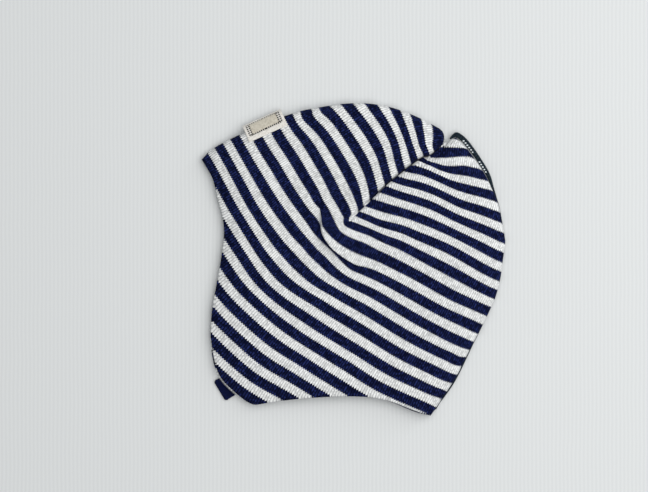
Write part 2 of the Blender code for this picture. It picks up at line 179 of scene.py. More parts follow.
# The near dart's front side rolls over the seam, its back side lies in a valley
ROLL_HEIGHT = 4.4 * MM
VALLEY_DEPTH = 2.4 * MM
ROLL_RISE = 3.6 * MM
ROLL_SPREAD = 17.0 * MM
VALLEY_SPREAD = 6.5 * MM
SEAM_NOTCH_DEPTH = 2.2 * MM
SEAM_NOTCH_WIDTH = 0.9 * MM
SEAM_NOTCH_START = (0.0, 0.1)
ROLL_ROWS = [
    # fraction of the seam, share of the roll's height, share of the valley's depth
    (-0.08, 0.00, 0.00),
    (0.00, 0.16, 0.21),
    (0.10, 0.55, 0.46),
    (0.25, 0.86, 0.62),
    (0.50, 1.00, 0.75),
    (0.80, 0.91, 0.92),
    (1.00, 0.59, 1.00),
    (1.15, 0.41, 0.83),
]

# Painted shadow in the crease of the near dart's seam, drawn as a dark line. Its map holds the
# fraction of the seam, over which the line fades in and out, and millimetres from the seam.
# Other cloth is far off the map.
DART_LINE_HALF = 0.8
DART_LINE_STRENGTH = 0.85
DART_LINE_START = (0.18, 0.36)
DART_LINE_END = (0.92, 0.98)
DART_LINE_PAINTED_SHADOW = (0.004, 0.005, 0.010, 1.0)
NO_DART_LINE = 1000.0

# The far dart is pressed flat
FAR_DART_GROOVE = 0.7 * MM
FAR_DART_WIDTH = 2.5 * MM
FAR_DART_RISE = (-0.1, 0.1)
FAR_DART_FALL = (0.85, 1.0)

# Tuck before the near dart's tip: the cloth on the tip's side stands over the rest
TUCK_HEIGHT = 5.2 * MM
TUCK_STEP = 0.9 * MM
TUCK_SPREAD = 20.0 * MM
TUCK_FOOT_DEPTH = 1.3 * MM
TUCK_FOOT_SPREAD = 6.0 * MM
TUCK_ROWS = [
    # x share, y share, share of the step's height, stripes hidden in the step
    (-0.105, 0.192, 0.00, 0.00),
    (-0.110, 0.158, 0.25, 0.20),
    (-0.108, 0.122, 0.55, 0.40),
    (-0.107, 0.088, 0.80, 0.48),
    (-0.092, 0.056, 0.92, 0.48),
    (-0.066, 0.025, 0.69, 0.46),
    (-0.029, -0.001, 0.38, 0.34),
    (0.014, -0.025, 0.15, 0.16),
    (0.056, -0.043, 0.00, 0.00),
]

# Soft crease on the back panel under the crown
CREASE_DEPTH = 1.2 * MM
CREASE_WIDTH = 3.2 * MM
CREASE_START_SHARE = (0.223, 0.330)
CREASE_END_SHARE = (0.366, 0.260)
CREASE_RISE = (-0.05, 0.1)
CREASE_FALL = (0.3, 1.0)

# Where the stripes run, seen from the dart's tip. A whole number is the middle of a dark
# stripe: number 0 passes by the tip, and the numbers rise towards the rims. A half is the
# middle of a light stripe, and 0.28 to either side of a whole number is a dark one's edge.
# Distances are shares of the hat's depth. A ray crosses one stripe after the other.
# Most of these numbers were measured in a photograph by another program, not charted by hand.
FRONT_RAYS = [
    # direction in degrees, first stripe, step to the next one, distances
    (42, -6, -1, (0.352, 0.411)),
    (45, -5, -1, (0.312, 0.357, 0.429)),
    (48, -5, -1, (0.322, 0.370)),
    (50, -1, -1, (0.076, 0.141, 0.208, 0.269, 0.328, 0.380)),
    (60, -1, -1, (0.087, 0.164, 0.241, 0.313, 0.371)),
    (70, -1, -1, (0.106, 0.197, 0.281, 0.357)),
    (80, -1, -1, (0.134, 0.237, 0.329)),
    (90, -1, -1, (0.177, 0.296, 0.395)),
    (100, -1, -1, (0.254, 0.375)),
    (110, 0, -1, (0.136, 0.381)),
    (140, 1, 1, (0.121, 0.316)),
    (150, 1, 1, (0.084, 0.211, 0.349, 0.466)),
    (160, 1, 1, (0.069, 0.156, 0.268, 0.366, 0.455)),
    (170, 1, 1, (0.062, 0.124, 0.219, 0.310, 0.386)),
]
FRONT_PLACES = [
    # direction in degrees, stripe, distance
    (40, -7, 0.388), (98.6, -2, 0.368), (45.5, -1.28, 0.0838), (106, -1, 0.323), (109.3, -1, 0.385),
    (47.7, -0.72, 0.0595), (49, -0.5, 0.046), (53.9, -0.28, 0.033), (55.2, -0.28, 0.0195),
    (75, 0, 0.017), (86, 0, 0.033), (95, 0, 0.049), (101, 0, 0.066), (108, 0, 0.100),
    (111.3, 0, 0.165), (116.5, 0, 0.318), (118, 0, 0.385), (111.2, 0.28, 0.0172),
    (113.9, 0.28, 0.0283), (127.5, 1, 0.359), (128, 1, 0.328), (130, 1, 0.235), (132.7, 1, 0.182),
    (134.1, 1, 0.159), (136.5, 1, 0.137), (137, 2, 0.378), (138.4, 2, 0.350), (143.6, 3, 0.435),
    (152.7, 4.72, 0.510),
]
NECK_RAYS = [
    # direction in degrees, first stripe, step to the next one, distances
    (180, 1, 1, (0.056, 0.106, 0.187, 0.270, 0.339)),
    (190, 1, 1, (0.052, 0.098, 0.168, 0.243, 0.310, 0.375)),
    (200, 3, 1, (0.153, 0.226, 0.293, 0.353, 0.419)),
    (210, 3, 1, (0.145, 0.214, 0.281, 0.344, 0.405, 0.470)),
    (220, 3, 1, (0.143, 0.209, 0.276, 0.337, 0.394, 0.458, 0.523)),
    (230, 3, 1, (0.143, 0.208, 0.272, 0.332, 0.390, 0.454, 0.519, 0.584, 0.644)),
    (240, 3, 1, (0.146, 0.213, 0.271, 0.332, 0.394, 0.459, 0.526, 0.591, 0.652)),
    (250, 3, 1, (0.156, 0.219, 0.276, 0.341, 0.406, 0.470, 0.536, 0.599)),
    (260, 3, 1, (0.169, 0.229, 0.292, 0.361, 0.428, 0.497, 0.565)),
    (270, 3, 1, (0.187, 0.249, 0.318, 0.394, 0.467, 0.543)),
    (280, 1, 1, (0.066, 0.142, 0.209, 0.280, 0.362, 0.449, 0.535)),
    (290, 1, 1, (0.076, 0.163, 0.242, 0.336, 0.438, 0.535, 0.621)),
    (300, 1, 1, (0.091, 0.200, 0.311, 0.437, 0.550, 0.644)),
]
NECK_PLACES = [
    # direction in degrees, stripe, distance
    (251, 0.28, 0.009), (200, 1, 0.049), (210, 1, 0.048), (220, 1, 0.047), (230, 1, 0.048),
    (240, 1, 0.049), (250, 1, 0.051), (260, 1, 0.055), (270, 1, 0.059),
]
BACK_RAYS = [
    # direction in degrees, first stripe, step to the next one, distances
    (0, -1, -1, (0.110, 0.282, 0.403)),
    (10, -1, -1, (0.080, 0.193, 0.299, 0.378)),
    (20, -1, -1, (0.064, 0.143, 0.232, 0.308, 0.372, 0.468)),
    (30, -1, -1, (0.054, 0.118, 0.192, 0.255, 0.319, 0.361, 0.463)),
    (40, -1, -1, (0.049, 0.102, 0.170, 0.221, 0.277, 0.327, 0.362, 0.460)),
    (310, 1, 1, (0.125, 0.280, 0.453, 0.590)),
    (320, 1, 1, (0.209, 0.498)),
    (350, -1, -1, (0.236, 0.453)),
]
BACK_PLACES = [
    # direction in degrees, stripe, distance
    (34, -8, 0.481), (36, -8, 0.474), (38, -8, 0.467), (33.6, -7.5, 0.462), (36, -7.5, 0.444),
    (32, -7, 0.441), (34.2, -7, 0.414), (36.7, -7, 0.386), (33.3, -6.5, 0.370), (37, -6.5, 0.346),
    (27, -6, 0.384), (35.3, -6, 0.339), (28.3, -5.5, 0.351), (33.3, -5.5, 0.331),
    (38.6, -5.5, 0.312), (10.6, -5, 0.488), (11.9, -5, 0.470), (13, -5, 0.452), (348.2, -2, 0.503),
    (43.7, -1.72, 0.0822), (45, -1.28, 0.0576), (6.4, -1, 0.087), (341, -1, 0.521),
    (342, -1, 0.463), (344, -1, 0.400), (346, -1, 0.346), (357.7, -1, 0.126), (44.3, -0.72, 0.0385),
    (28.6, -0.28, 0.0165), (50, -0.28, 0.0125), (334.5, 0, 0.488), (335, 0, 0.428),
    (335.5, 0, 0.370), (336, 0, 0.310), (337, 0, 0.250), (338.4, 0, 0.192), (340, 0, 0.016),
    (340, 0, 0.033), (340, 0, 0.050), (340, 0, 0.090), (326, 1, 0.428), (328, 1, 0.535),
    (321, 2, 0.533), (316.8, 2.72, 0.564), (312.8, 3, 0.513), (314, 3, 0.539), (315.2, 3, 0.565),
    (314.4, 3.28, 0.587), (310.8, 3.72, 0.579), (306.8, 4, 0.538), (308.3, 4, 0.563),
    (309.6, 4, 0.588), (308.8, 4.28, 0.604), (305.1, 4.72, 0.601), (303.7, 5, 0.605),
    (303.3, 5.28, 0.629), (299.9, 5.72, 0.627), (300.8, 5.72, 0.642), (298.2, 6, 0.628),
    (298.4, 6.28, 0.657), (293.1, 7, 0.655),
]
TIP_STRIPE = 0.05
DARK_SHARE = 0.565
WALE_PITCH = 1.57 * MM
# The back part's directions up to this one, in degrees, count as a full turn more, and the
# front's stripes pass into the back's between these two
BACK_TURN_END = 130
STRIPES_MEET = (200, 270)

# Woven label over the front fold, and its frame of dark stitches
LABEL_FROM_CORNER = 45.8 * MM
LABEL_TURN = 1.7
LABEL_LENGTH = 29.2 * MM
LABEL_LAP = 7.8 * MM
LABEL_STANDS = 4.8 * MM
LABEL_THICK = 0.8 * MM
LABEL_CLEARANCE = 0.4 * MM
LABEL_BEND = 1.1 * MM
LABEL_BEND_ANGLES = (70, 45, 20, 0, -25, -55)
LABEL_UNDER_ANGLES = (-12, -25, -38)
LABEL_FALL = 0.9
LABEL_FALL_POWER = 1.9
LABEL_FALL_SHARES = (0.2, 0.4, 0.6, 0.8)
LABEL_LAP_POINTS = 6
LABEL_FOLD_PLACES = np.arange(2, 240) / 400
LABEL_STATIONS = 40
LABEL_FRAME_END = 2.4 * MM
LABEL_FRAME_STEP = 1.7 * MM
LABEL_FRAME_LINE = 1.2 * MM
LABEL_FRAME_LOW = 4.2 * MM
LABEL_FRAME_HIGH = 12.9 * MM
LABEL_DASH = 1.5 * MM
LABEL_DASH_SHARE = 0.62
LABEL_WEFT = 0.5 * MM
LABEL_WARP = 0.7 * MM
LABEL_RELIEF = 0.05 * MM
LABEL_ROUGHNESS = 0.75
LABEL_SHEEN = 0.2
LABEL_GRAIN = 700.0
LABEL_FLECK = (0.3, 0.75)
LABEL_MARGIN = (0.84, 0.82, 0.78, 1.0)
LABEL_MARGIN_SHADE = (0.68, 0.65, 0.60, 1.0)
LABEL_FIELD = (0.66, 0.62, 0.53, 1.0)
LABEL_FIELD_SHADE = (0.52, 0.48, 0.40, 1.0)
LABEL_THREAD = (0.004, 0.004, 0.005, 1.0)

# Ribbon tag at the far earflap's rim
TAG_FROM_RIM_START = 37.5 * MM
TAG_TURN = 16.0
TAG_WIDTH = 15.9 * MM
TAG_STANDS = 7.2 * MM
TAG_RIBBON = 0.5 * MM
TAG_THICK = 1.7 * MM
TAG_LIFT = 0.1 * MM
TAG_CLEARANCE = 0.3 * MM
TAG_STATIONS = 40
TAG_CORNER = 1.6 * MM
TAG_RUN_POINTS = 5
TAG_BEND_ANGLES = (90, 60, 30, 0, -30, -60, -90)
TAG_CLEARING_STEPS = 6
RIBBON_RIB = 0.7 * MM
RIBBON_RELIEF = 0.05 * MM
RIBBON_ROUGHNESS = 0.5
RIBBON_SHEEN = 0.05
RIBBON_GRAIN = 500.0
RIBBON_FLECK = (0.35, 0.7)
RIBBON_COLOUR = (0.0008, 0.003, 0.026, 1.0)
RIBBON_SHADE = (0.002, 0.006, 0.046, 1.0)
# The edges of the label and the ribbon are bevelled by this share of their thickness
BAND_EDGE_SHARE = 0.3

# Overlocked seam: a dark core, a dark thread wound along all of it and a pale one in runs
SEAM_WIDTH = 4.1 * MM
SEAM_LEAST_WIDTH = 1.1 * MM
SEAM_THICK = 1.8 * MM
SEAM_PALE_MIDDLE = 0.30
SEAM_PALE_REACH = 0.45
SEAM_PALE_RUNS = ((17.0 * MM, 29.5 * MM), (36.5 * MM, 48.0 * MM))
SEAM_CLEARANCE = 0.3 * MM
SEAM_FROM_NOTCH = 3.5 * MM
SEAM_FROM_NAPE = 3.0 * MM
SEAM_ROLL_ANGLE = 40.0
SEAM_STITCH = 2.1 * MM
SEAM_TURN_POINTS = 12
SEAM_CORE_SHARE = 0.9
SEAM_CORE_SIDES = 12
SEAM_CORE_STEP = 3
SEAM_THREAD = 0.65 * MM
SEAM_PALE_THREAD = 1.0 * MM
THREAD_SIDES = 6
THREAD_SUNK = 0.4
THREAD_RELIEF = 0.1 * MM
THREAD_ROUGHNESS = 0.85
THREAD_SHEEN = 0.2
THREAD_GRAIN = 1100.0
THREAD_FLECK = (0.3, 0.7)
OVERLOCK_PALE = (0.85, 0.90, 0.92, 1.0)
OVERLOCK_PALE_SHADE = (0.60, 0.66, 0.70, 1.0)
OVERLOCK_DARK = (0.005, 0.011, 0.020, 1.0)
OVERLOCK_DARK_SHADE = (0.014, 0.032, 0.040, 1.0)
OVERLOCK_EDGE = (0.003, 0.007, 0.014, 1.0)
OVERLOCK_EDGE_SHADE = (0.010, 0.020, 0.030, 1.0)

# Knit in stripes: shares of one stripe or wale, relief, yarn colours, and painted shade and glints
WALE_SOLVER_STEPS = 2000
FAR_WALE_WEIGHT = 0.05
STRIPE_BEND = 35.0 * MM
FAR_RIM_SHIFT = 0.38
TOOTH_HEIGHT = 0.08
EDGE_NOISE = 0.04
COURSES_PER_STRIPE = 12.0
WALE_WOBBLE = 0.12
WOBBLE_GRAIN = 900.0
SPECK_GRAIN = 1500.0
STRIPE_BLUR = 0.012
GROOVE_FROM = 0.16
KNIT_RELIEF = 0.25 * MM
GROOVE_DROP = 0.8
FOOT_DROP = 0.5
SPECK_RISE = 0.5
CLOTH_SPECULAR = 0.05
KNIT_ROUGHNESS = 0.92
# The grooves between the wales are darkened with painted shade, by this share for the light yarn
PAINTED_GROOVE_SHADE_SHARE = 0.62
LIGHT_SHADE_POWER = 1.6
# Painted glints on the dark yarn's ridges, stronger at random from stitch to stitch
PAINTED_GLINT_POWER = 1.8
PAINTED_GLINT_GAIN = 0.8
PAINTED_GLINT_LEAST = 0.12
LIGHT_YARN = (0.92, 0.935, 0.935, 1.0)
LIGHT_YARN_SHADE = (0.58, 0.59, 0.59, 1.0)
# Colour of the painted shade in the light yarn's grooves
LIGHT_YARN_PAINTED_GROOVE_SHADE = (0.30, 0.31, 0.34, 1.0)
# Dark yarn where a ridge carries its full painted glint, and the painted shade in its grooves
DARK_YARN = (0.019, 0.030, 0.135, 1.0)
DARK_YARN_PAINTED_GROOVE_SHADE = (0.0006, 0.0012, 0.008, 1.0)

# Floor, light and camera
FLOOR_SIZE = 3.0
FLOOR_RIB = 2.8 * MM
FLOOR_DRIFT = 2.0 * MM
FLOOR_DRIFT_GRAIN = 25.0
FLOOR_ROUGHNESS = 0.9
# The floor's colour, and the painted shade on the stripes of its fine rib
FLOOR_COLOUR = (0.70, 0.72, 0.73, 1.0)
FLOOR_RIB_PAINTED_SHADE = (0.66, 0.68, 0.69, 1.0)
KEY_PLACE = (0.58, 0.12, 1.42)
KEY_SIZE = 2.2
KEY_ENERGY = 29.4
KEY_COLOUR = (1.0, 0.99, 0.97)
SIDE_PLACE = (1.3, 0.8, 0.5)
SIDE_SIZE = 0.6
SIDE_ENERGY = 4.0
SIDE_COLOUR = (0.97, 0.99, 1.0)
SKY_COLOUR = (0.97, 0.99, 1.0)
SKY_STRENGTH = 0.33
SENSOR_WIDTH = 36.0
CAMERA_HEIGHT = 3.0
CAMERA_NEAREST = 0.05
VIEW_WIDTH = 0.4536
VIEW_LEVEL = 9.0 * MM
VIEW_CENTRE = (-0.0205, 0.0095)

# Mesh density of the knitted shell
COLUMNS_FRONT = 130
COLUMNS_BACK = 140
FRONT_GATHER_POWER = 1.25
BACK_GATHER_POWER = 1.2
ROWS_NEAR = 120
ROWS_FOLD = 8
MIDDLE_OF_FOLD = ROWS_NEAR - 1 + ROWS_FOLD // 2
ROWS_FAR = 26
ROWS_RIM = 4
ROW_SAMPLES = 300
ROW_GATHER = 3.0
ROW_GATHER_WIDTH = 3.5 * MM
CURVE_STEPS = 24
TUCK_CURVE_STEPS = 8
TANGENT_STEP = 0.008


class Curve:
    """Smooth curve through rows of shares, read by fractions of its length."""

    def __init__(self, rows, scales, steps=CURVE_STEPS):
        rows = np.array(rows) * np.array(scales)
        before = rows[np.maximum(np.arange(len(rows) - 1) - 1, 0)]
        after = rows[np.minimum(np.arange(len(rows) - 1) + 2, len(rows) - 1)]
        t = (np.arange(steps) / steps)[None, :, None]
        p0, p1, p2, p3 = (p[:, None, :] for p in (before, rows[:-1], rows[1:], after))
        spans = 0.5 * (2 * p1 + (p2 - p0) * t + (2 * p0 - 5 * p1 + 4 * p2 - p3) * t ** 2
                       + (3 * p1 - p0 - 3 * p2 + p3) * t ** 3)
        self.points = np.vstack([spans.reshape(-1, rows.shape[1]), rows[-1:]])
        steps_xy = np.diff(self.points[:, :2], axis=0)
        self.lengths = np.concatenate([[0.0], np.cumsum(np.hypot(*steps_xy.T))])
        self.length = self.lengths[-1]

    def at(self, fraction):
        """Rows of the curve at fractions of its length."""
        target = np.clip(fraction, 0, 1) * self.length
        return np.stack([np.interp(target, self.lengths, c) for c in self.points.T], axis=-1)

    def tangent(self, fraction):
        """Unit directions of the curve at fractions of its length."""
        middle = np.clip(fraction, 0, 1)
        step = self.at(middle + TANGENT_STEP)[..., :2] - self.at(middle - TANGENT_STEP)[..., :2]
        return step / np.linalg.norm(step, axis=-1, keepdims=True)

    def nearest(self, x, y):
        """Signed distances from the curve, left of its direction positive, and the rows there."""
        steps = np.diff(self.points, axis=0)
        best = np.full(np.shape(x), np.inf)
        sign = np.ones(np.shape(x))
        row = np.zeros(np.shape(x) + (self.points.shape[1],))
        for start, move in zip(self.points, steps):
            dx, dy = x - start[0], y - start[1]
            t = np.clip((dx * move[0] + dy * move[1]) / (move[0] ** 2 + move[1] ** 2), 0, 1)
            gap = np.hypot(dx - t * move[0], dy - t * move[1])
            nearer = gap < best
            best = np.where(nearer, gap, best)
            sign = np.where(nearer, np.where(move[0] * dy - move[1] * dx >= 0, 1.0, -1.0), sign)
            row[nearer] = start + move * t[nearer][..., None]
        return sign * best, row


def smooth(value, start, end):
    """Smooth step from 0 at start to 1 at end."""
    t = np.clip((value - start) / (end - start), 0, 1)
    return t * t * (3 - 2 * t)


def fade(value, rise, fall):
    """Smooth step up over the span rise and down again over the span fall."""
    return smooth(value, *rise) * (1 - smooth(value, *fall))


def table(rows, value, column=1):
    """Read one column of a short table, smoothly between its rows."""
    rows = np.array(rows)
    i = np.clip(np.searchsorted(rows[:, 0], value) - 1, 0, len(rows) - 2)
    t = smooth(value, rows[i, 0], rows[i + 1, 0])
    return rows[i, column] + (rows[i + 1, column] - rows[i, column]) * t


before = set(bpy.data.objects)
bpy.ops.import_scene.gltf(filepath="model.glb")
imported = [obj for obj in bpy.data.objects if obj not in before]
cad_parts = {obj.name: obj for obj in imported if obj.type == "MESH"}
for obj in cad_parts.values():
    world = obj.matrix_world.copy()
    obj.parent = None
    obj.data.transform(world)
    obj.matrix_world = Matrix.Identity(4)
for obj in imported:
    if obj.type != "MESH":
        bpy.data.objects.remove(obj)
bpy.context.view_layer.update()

shell_low, shell_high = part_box("hat_shell")
hat_depth = (shell_high.x - shell_low.x) / SHELL_DEPTH_SHARE
hat_tall = (shell_high.y - shell_low.y) / SHELL_TALL_SHARE
half_cloth = CLOTH_THICK / 2
near_middle_z = HOLLOW_MIDDLE + 1.5 * CLOTH_THICK
near_rim_z = HOLLOW_RIM + 1.5 * CLOTH_THICK
near_fold_z = HOLLOW_FOLD + 1.5 * CLOTH_THICK

fold_curve = Curve(FOLD_ROWS, (hat_depth, hat_tall))
back_curve = Curve(BACK_ROWS, (hat_depth, hat_tall, SEAM_WIDTH, SEAM_ROLL_ANGLE))
face_curve = Curve(FACE_RIM_ROWS, (hat_depth, hat_tall, FAR_RIM_REACH))
neck_curve = Curve(NECK_RIM_ROWS, (hat_depth, hat_tall, FAR_RIM_REACH))
tuck_curve = Curve(TUCK_ROWS, (hat_depth, hat_tall, TUCK_HEIGHT, 1.0), TUCK_CURVE_STEPS)

dart_tip = np.array(DART_TIP_SHARE) * (hat_depth, hat_tall)
dart_top = np.array(FOLD_ROWS[-1]) * (hat_depth, hat_tall)
dart_length = np.linalg.norm(dart_top - dart_tip)
dart_along = (dart_top - dart_tip) / dart_length
dart_front = np.array((-dart_along[1], dart_along[0]))


def dart_place(x, y):
    """Fraction along the dart seam and distance from its chord, front side positive."""
    dx, dy = x - dart_tip[0], y - dart_tip[1]
    along = (dx * dart_along[0] + dy * dart_along[1]) / dart_length
    return along, dx * dart_front[0] + dy * dart_front[1]


def seam_bow(along, across):
    """How far the sewn line lies to the front of its chord."""
    return DART_BOW * table(DART_BOW_ROWS, along) * np.exp(-(across / DART_BOW_SPREAD) ** 2)


def bend_to_seam(x, y):
    """Shift plan points so that the dart's chord falls on the bowed seam."""
    bow = seam_bow(*dart_place(x, y))
    return x + dart_front[0] * bow, y + dart_front[1] * bow


def roll_height(along, across):
    """Height of the roll in front of the dart seam and of the valley behind it."""
    rise = ROLL_HEIGHT * table(ROLL_ROWS, along, 1)
    valley = VALLEY_DEPTH * table(ROLL_ROWS, along, 2)
    behind = -valley * np.exp(-(across / VALLEY_SPREAD) ** 2)
    t = np.clip(across / ROLL_RISE, 0, 1)
    wall = (rise + valley) * np.sqrt(1 - (1 - t) ** 2) - valley
    slope = rise * np.exp(-((across - ROLL_RISE) / ROLL_SPREAD) ** 2)
    notch = smooth(along, *SEAM_NOTCH_START) * SEAM_NOTCH_DEPTH * np.exp(-(across / SEAM_NOTCH_WIDTH) ** 2)
    return np.where(across < 0, behind, np.where(across < ROLL_RISE, wall, slope)) - notch


def tuck_height(x, y):
    """Height of the terrace beside the tuck, and the dip at its foot."""
    across, row = tuck_curve.nearest(x, y)
    terrace = row[..., 2] * np.exp(-(across / TUCK_SPREAD) ** 2) * smooth(across, 0, TUCK_STEP)
    dip = row[..., 2] / TUCK_HEIGHT * TUCK_FOOT_DEPTH * np.exp(-(across / TUCK_FOOT_SPREAD) ** 2)
    return np.where(across > 0, terrace, -dip)


def crease_height(x, y):
    """Depth of the soft crease on the back panel."""
    start = np.array(CREASE_START_SHARE) * (hat_depth, hat_tall)
    move = np.array(CREASE_END_SHARE) * (hat_depth, hat_tall) - start
    size = np.linalg.norm(move)
    along = ((x - start[0]) * move[0] + (y - start[1]) * move[1]) / size ** 2
    across = ((x - start[0]) * move[1] - (y - start[1]) * move[0]) / size
    depth = CREASE_DEPTH * fade(along, CREASE_RISE, CREASE_FALL)
    return -depth * np.exp(-(across / CREASE_WIDTH) ** 2)


def near_height(x, y, from_rim, from_fold):
    """Height of the middle of the near sheet over plan points."""
    along, across = dart_place(x, y)
    across = across - seam_bow(along, across)
    pressed = RIM_PRESSED * (1 - smooth(x / hat_depth, PRESSED_TO, PRESSED_END))
    rim_fall = near_middle_z - near_rim_z + pressed
    height = near_middle_z - rim_fall * np.exp(-from_rim / RIM_RISE_LENGTH)
    height = height - (near_middle_z - near_fold_z) * np.exp(-from_fold / FOLD_FALL_LENGTH)
    return height + roll_height(along, across) + tuck_height(x, y) + crease_height(x, y)


def far_height(x, y):
    """Height of the middle of the far sheet, flat but for its pressed dart."""
    along, across = dart_place(x, y)
    groove = FAR_DART_GROOVE * fade(along, FAR_DART_RISE, FAR_DART_FALL)
    return half_cloth + groove * np.exp(-(across / FAR_DART_WIDTH) ** 2)


def fold_depth(closed, fractions):
    """How far before a closed edge the near sheet starts to turn down."""
    if closed is back_curve:
        return FOLD_DEPTH * table(BACK_FOLD_ROWS, fractions)
    return np.full(len(fractions), FOLD_DEPTH)


class Columns:
    """Lines of the hat, each from the near rim over the closed edge to the far rim."""

    def __init__(self, closed, rim, fractions):
        edge = closed.at(fractions)
        tangent = closed.tangent(fractions)
        self.outward = np.stack([-tangent[:, 1], tangent[:, 0]], axis=1)
        shown = edge[:, 2] if edge.shape[1] > 2 else np.zeros(len(edge))
        inset = half_cloth + np.where(shown > 0, shown + SEAM_CLEARANCE, 0)
        self.limit = edge[:, :2] - self.outward * inset[:, None]
        rim_row = rim.at(fractions)
        rim_tangent = rim.tangent(fractions)
        self.rim_out = np.stack([rim_tangent[:, 1], -rim_tangent[:, 0]], axis=1)
        self.rim = rim_row[:, :2]
        self.far_rim = self.rim + self.rim_out * rim_row[:, 2:3]
        run = np.linalg.norm(self.limit - self.rim, axis=1)
        self.direction = (self.limit - self.rim) / run[:, None]
        self.facing = np.sum(self.direction * self.outward, axis=1)
        depth = fold_depth(closed, fractions)
        self.reach = np.minimum(depth / np.maximum(self.facing, LEAST_FACING), MOST_OF_RUN * run)
        self.start = self.limit - self.direction * self.reach[:, None]
        self.run = run - self.reach
        self.half = np.full(len(run), half_cloth)

    def near(self, s):
        """Middle of the near sheet, s from 0 at the rim to 1 where the closed edge begins."""
        inner_rim = self.rim - self.rim_out * self.half[:, None]
        plan = inner_rim[:, None] + (self.start - inner_rim)[:, None] * s[..., None]
        x, y = bend_to_seam(plan[..., 0], plan[..., 1])
        run = self.run[:, None]
        return np.stack([x, y, near_height(x, y, s * run, (1 - s) * run)], axis=-1)

    def far(self, s):
        """Middle of the far sheet, s from 0 at the closed edge to 1 at the far rim."""
        inner_rim = self.far_rim - self.rim_out * self.half[:, None]
        x, y = bend_to_seam(self.start[:, 0], self.start[:, 1])
        first = np.stack([x, y], axis=1)
        plan = first[:, None] + (inner_rim - first)[:, None] * s[..., None]
        height = far_height(plan[..., 0], plan[..., 1])
        return np.concatenate([plan, height[..., None]], axis=-1)

    def rows(self, count):
        """Places of the rows of the near sheet, closer together beside the tuck."""
        s = np.linspace(0, 1, ROW_SAMPLES)[None, :].repeat(len(self.run), axis=0)
        points = self.near(s)
        gap, row = tuck_curve.nearest(points[..., 0], points[..., 1])
        share = np.sqrt(row[..., 2] / TUCK_HEIGHT)
        density = 1 + ROW_GATHER * share * np.exp(-(gap / ROW_GATHER_WIDTH) ** 2)
        total = np.cumsum(density, axis=1) - density[:, :1]
        wanted = np.linspace(0, 1, count)
        return np.stack([np.interp(wanted, t / t[-1], s[0]) for t in total])


def sheet_side(columns, near, far, side):
    """One side of the cloth from the near rim to the far rim: side 1 is outside, -1 inside."""
    half = columns.half * side
    top = near.copy()
    top[..., 2] += half[:, None]
    bottom = far.copy()
    bottom[..., 2] -= half[:, None]
    first, last = near[:, -1], far[:, 0]
    centre_z = (first[:, 2] + last[:, 2]) / 2
    radius_z = (first[:, 2] - last[:, 2]) / 2 + half
    folded = []
    for k in range(1, ROWS_FOLD):
        turn = pi * k / ROWS_FOLD
        plan = first[:, :2] + (columns.direction * columns.reach[:, None]
                               + columns.outward * half[:, None]) * sin(turn)
        height = centre_z + radius_z * cos(turn)
        folded.append(np.concatenate([plan, height[:, None]], axis=1))
    return np.concatenate([top, np.stack(folded, axis=1), bottom], axis=1)


def rim_round(columns, middle):
    """Points that round a rim off, from the outside to the inside of the cloth."""
    rows = []
    for k in range(1, ROWS_RIM):
        turn = pi * k / ROWS_RIM
        plan = middle[:, :2] + columns.rim_out * (columns.half * sin(turn))[:, None]
        height = middle[:, 2] + columns.half * cos(turn)
        rows.append(np.concatenate([plan, height[:, None]], axis=1))
    return np.stack(rows, axis=1)


class Spline:
    """Thin-plate spline through values at scattered plan points."""

    def __init__(self, points, values):
        self.points = points
        size = len(points)
        plane = np.column_stack([np.ones(size), points])
        matrix = np.zeros((size + 3, size + 3))
        matrix[:size, :size] = self.kernel(points[:, 0], points[:, 1])
        matrix[:size, size:] = plane
        matrix[size:, :size] = plane.T
        self.weights = np.linalg.solve(matrix, np.concatenate([values, np.zeros(3)]))

    def kernel(self, x, y):
        """Square of the distance to each known point, times its logarithm."""
        square = (x[..., None] - self.points[:, 0]) ** 2 + (y[..., None] - self.points[:, 1]) ** 2
        return square * np.log(square + TINY)

    def at(self, x, y):
        """Values at plan points."""
        size = len(self.points)
        flat = self.weights[size] + self.weights[size + 1] * x + self.weights[size + 2] * y
        return flat + self.kernel(x, y) @ self.weights[:size]


def tuck_shift(x, y):
    """Stripes by which the cloth hidden in the tuck moves the pattern on either side of it."""
    shift = np.zeros(np.shape(x))
    for start, end in zip(tuck_curve.points[:-1], tuck_curve.points[1:]):
        ax, ay = start[0] - x, start[1] - y
        bx, by = end[0] - x, end[1] - y
        angle = np.arctan2(ax * by - ay * bx, ax * bx + ay * by)
        shift -= (start[3] + end[3]) / 2 * angle / (2 * pi)
    across, row = tuck_curve.nearest(x, y)
    on_step = (across > 0) & (across < TUCK_STEP)
    return shift + np.where(on_step, row[..., 3] * (1 - across / TUCK_STEP), 0)


def stripe_spline(rays, places):
    """Spline of the stripes' numbers through the places where they are known."""
    known = [(0.0, TIP_STRIPE, 0.0)] + places
    for degrees, first, step, distances in rays:
        known += [(degrees, first + step * i, distance) for i, distance in enumerate(distances)]
    degrees, number, distance = np.array(known).T
    ray = np.stack([np.cos(np.radians(degrees)), np.sin(np.radians(degrees))], axis=1)
    points = dart_tip + ray * (distance * hat_depth)[:, None]
    return Spline(points, number - tuck_shift(points[:, 0], points[:, 1]))


front_stripes = stripe_spline(FRONT_RAYS + NECK_RAYS, FRONT_PLACES + NECK_PLACES)
back_stripes = stripe_spline(NECK_RAYS + BACK_RAYS, NECK_PLACES + BACK_PLACES)


def stripe_number(x, y, is_back):
    """Number of the stripe at plan points: whole in the middle of a dark one."""
    degrees = np.degrees(np.arctan2(y - dart_tip[1], x - dart_tip[0])) % 360
    degrees = np.where(is_back & (degrees < BACK_TURN_END), degrees + 360, degrees)
    share = smooth(degrees, *STRIPES_MEET)
    return front_stripes.at(x, y) * (1 - share) + back_stripes.at(x, y) * share


def unit(vectors):
    """Vectors of length 1."""
    return vectors / np.maximum(np.linalg.norm(vectors, axis=-1, keepdims=True), 1e-30)


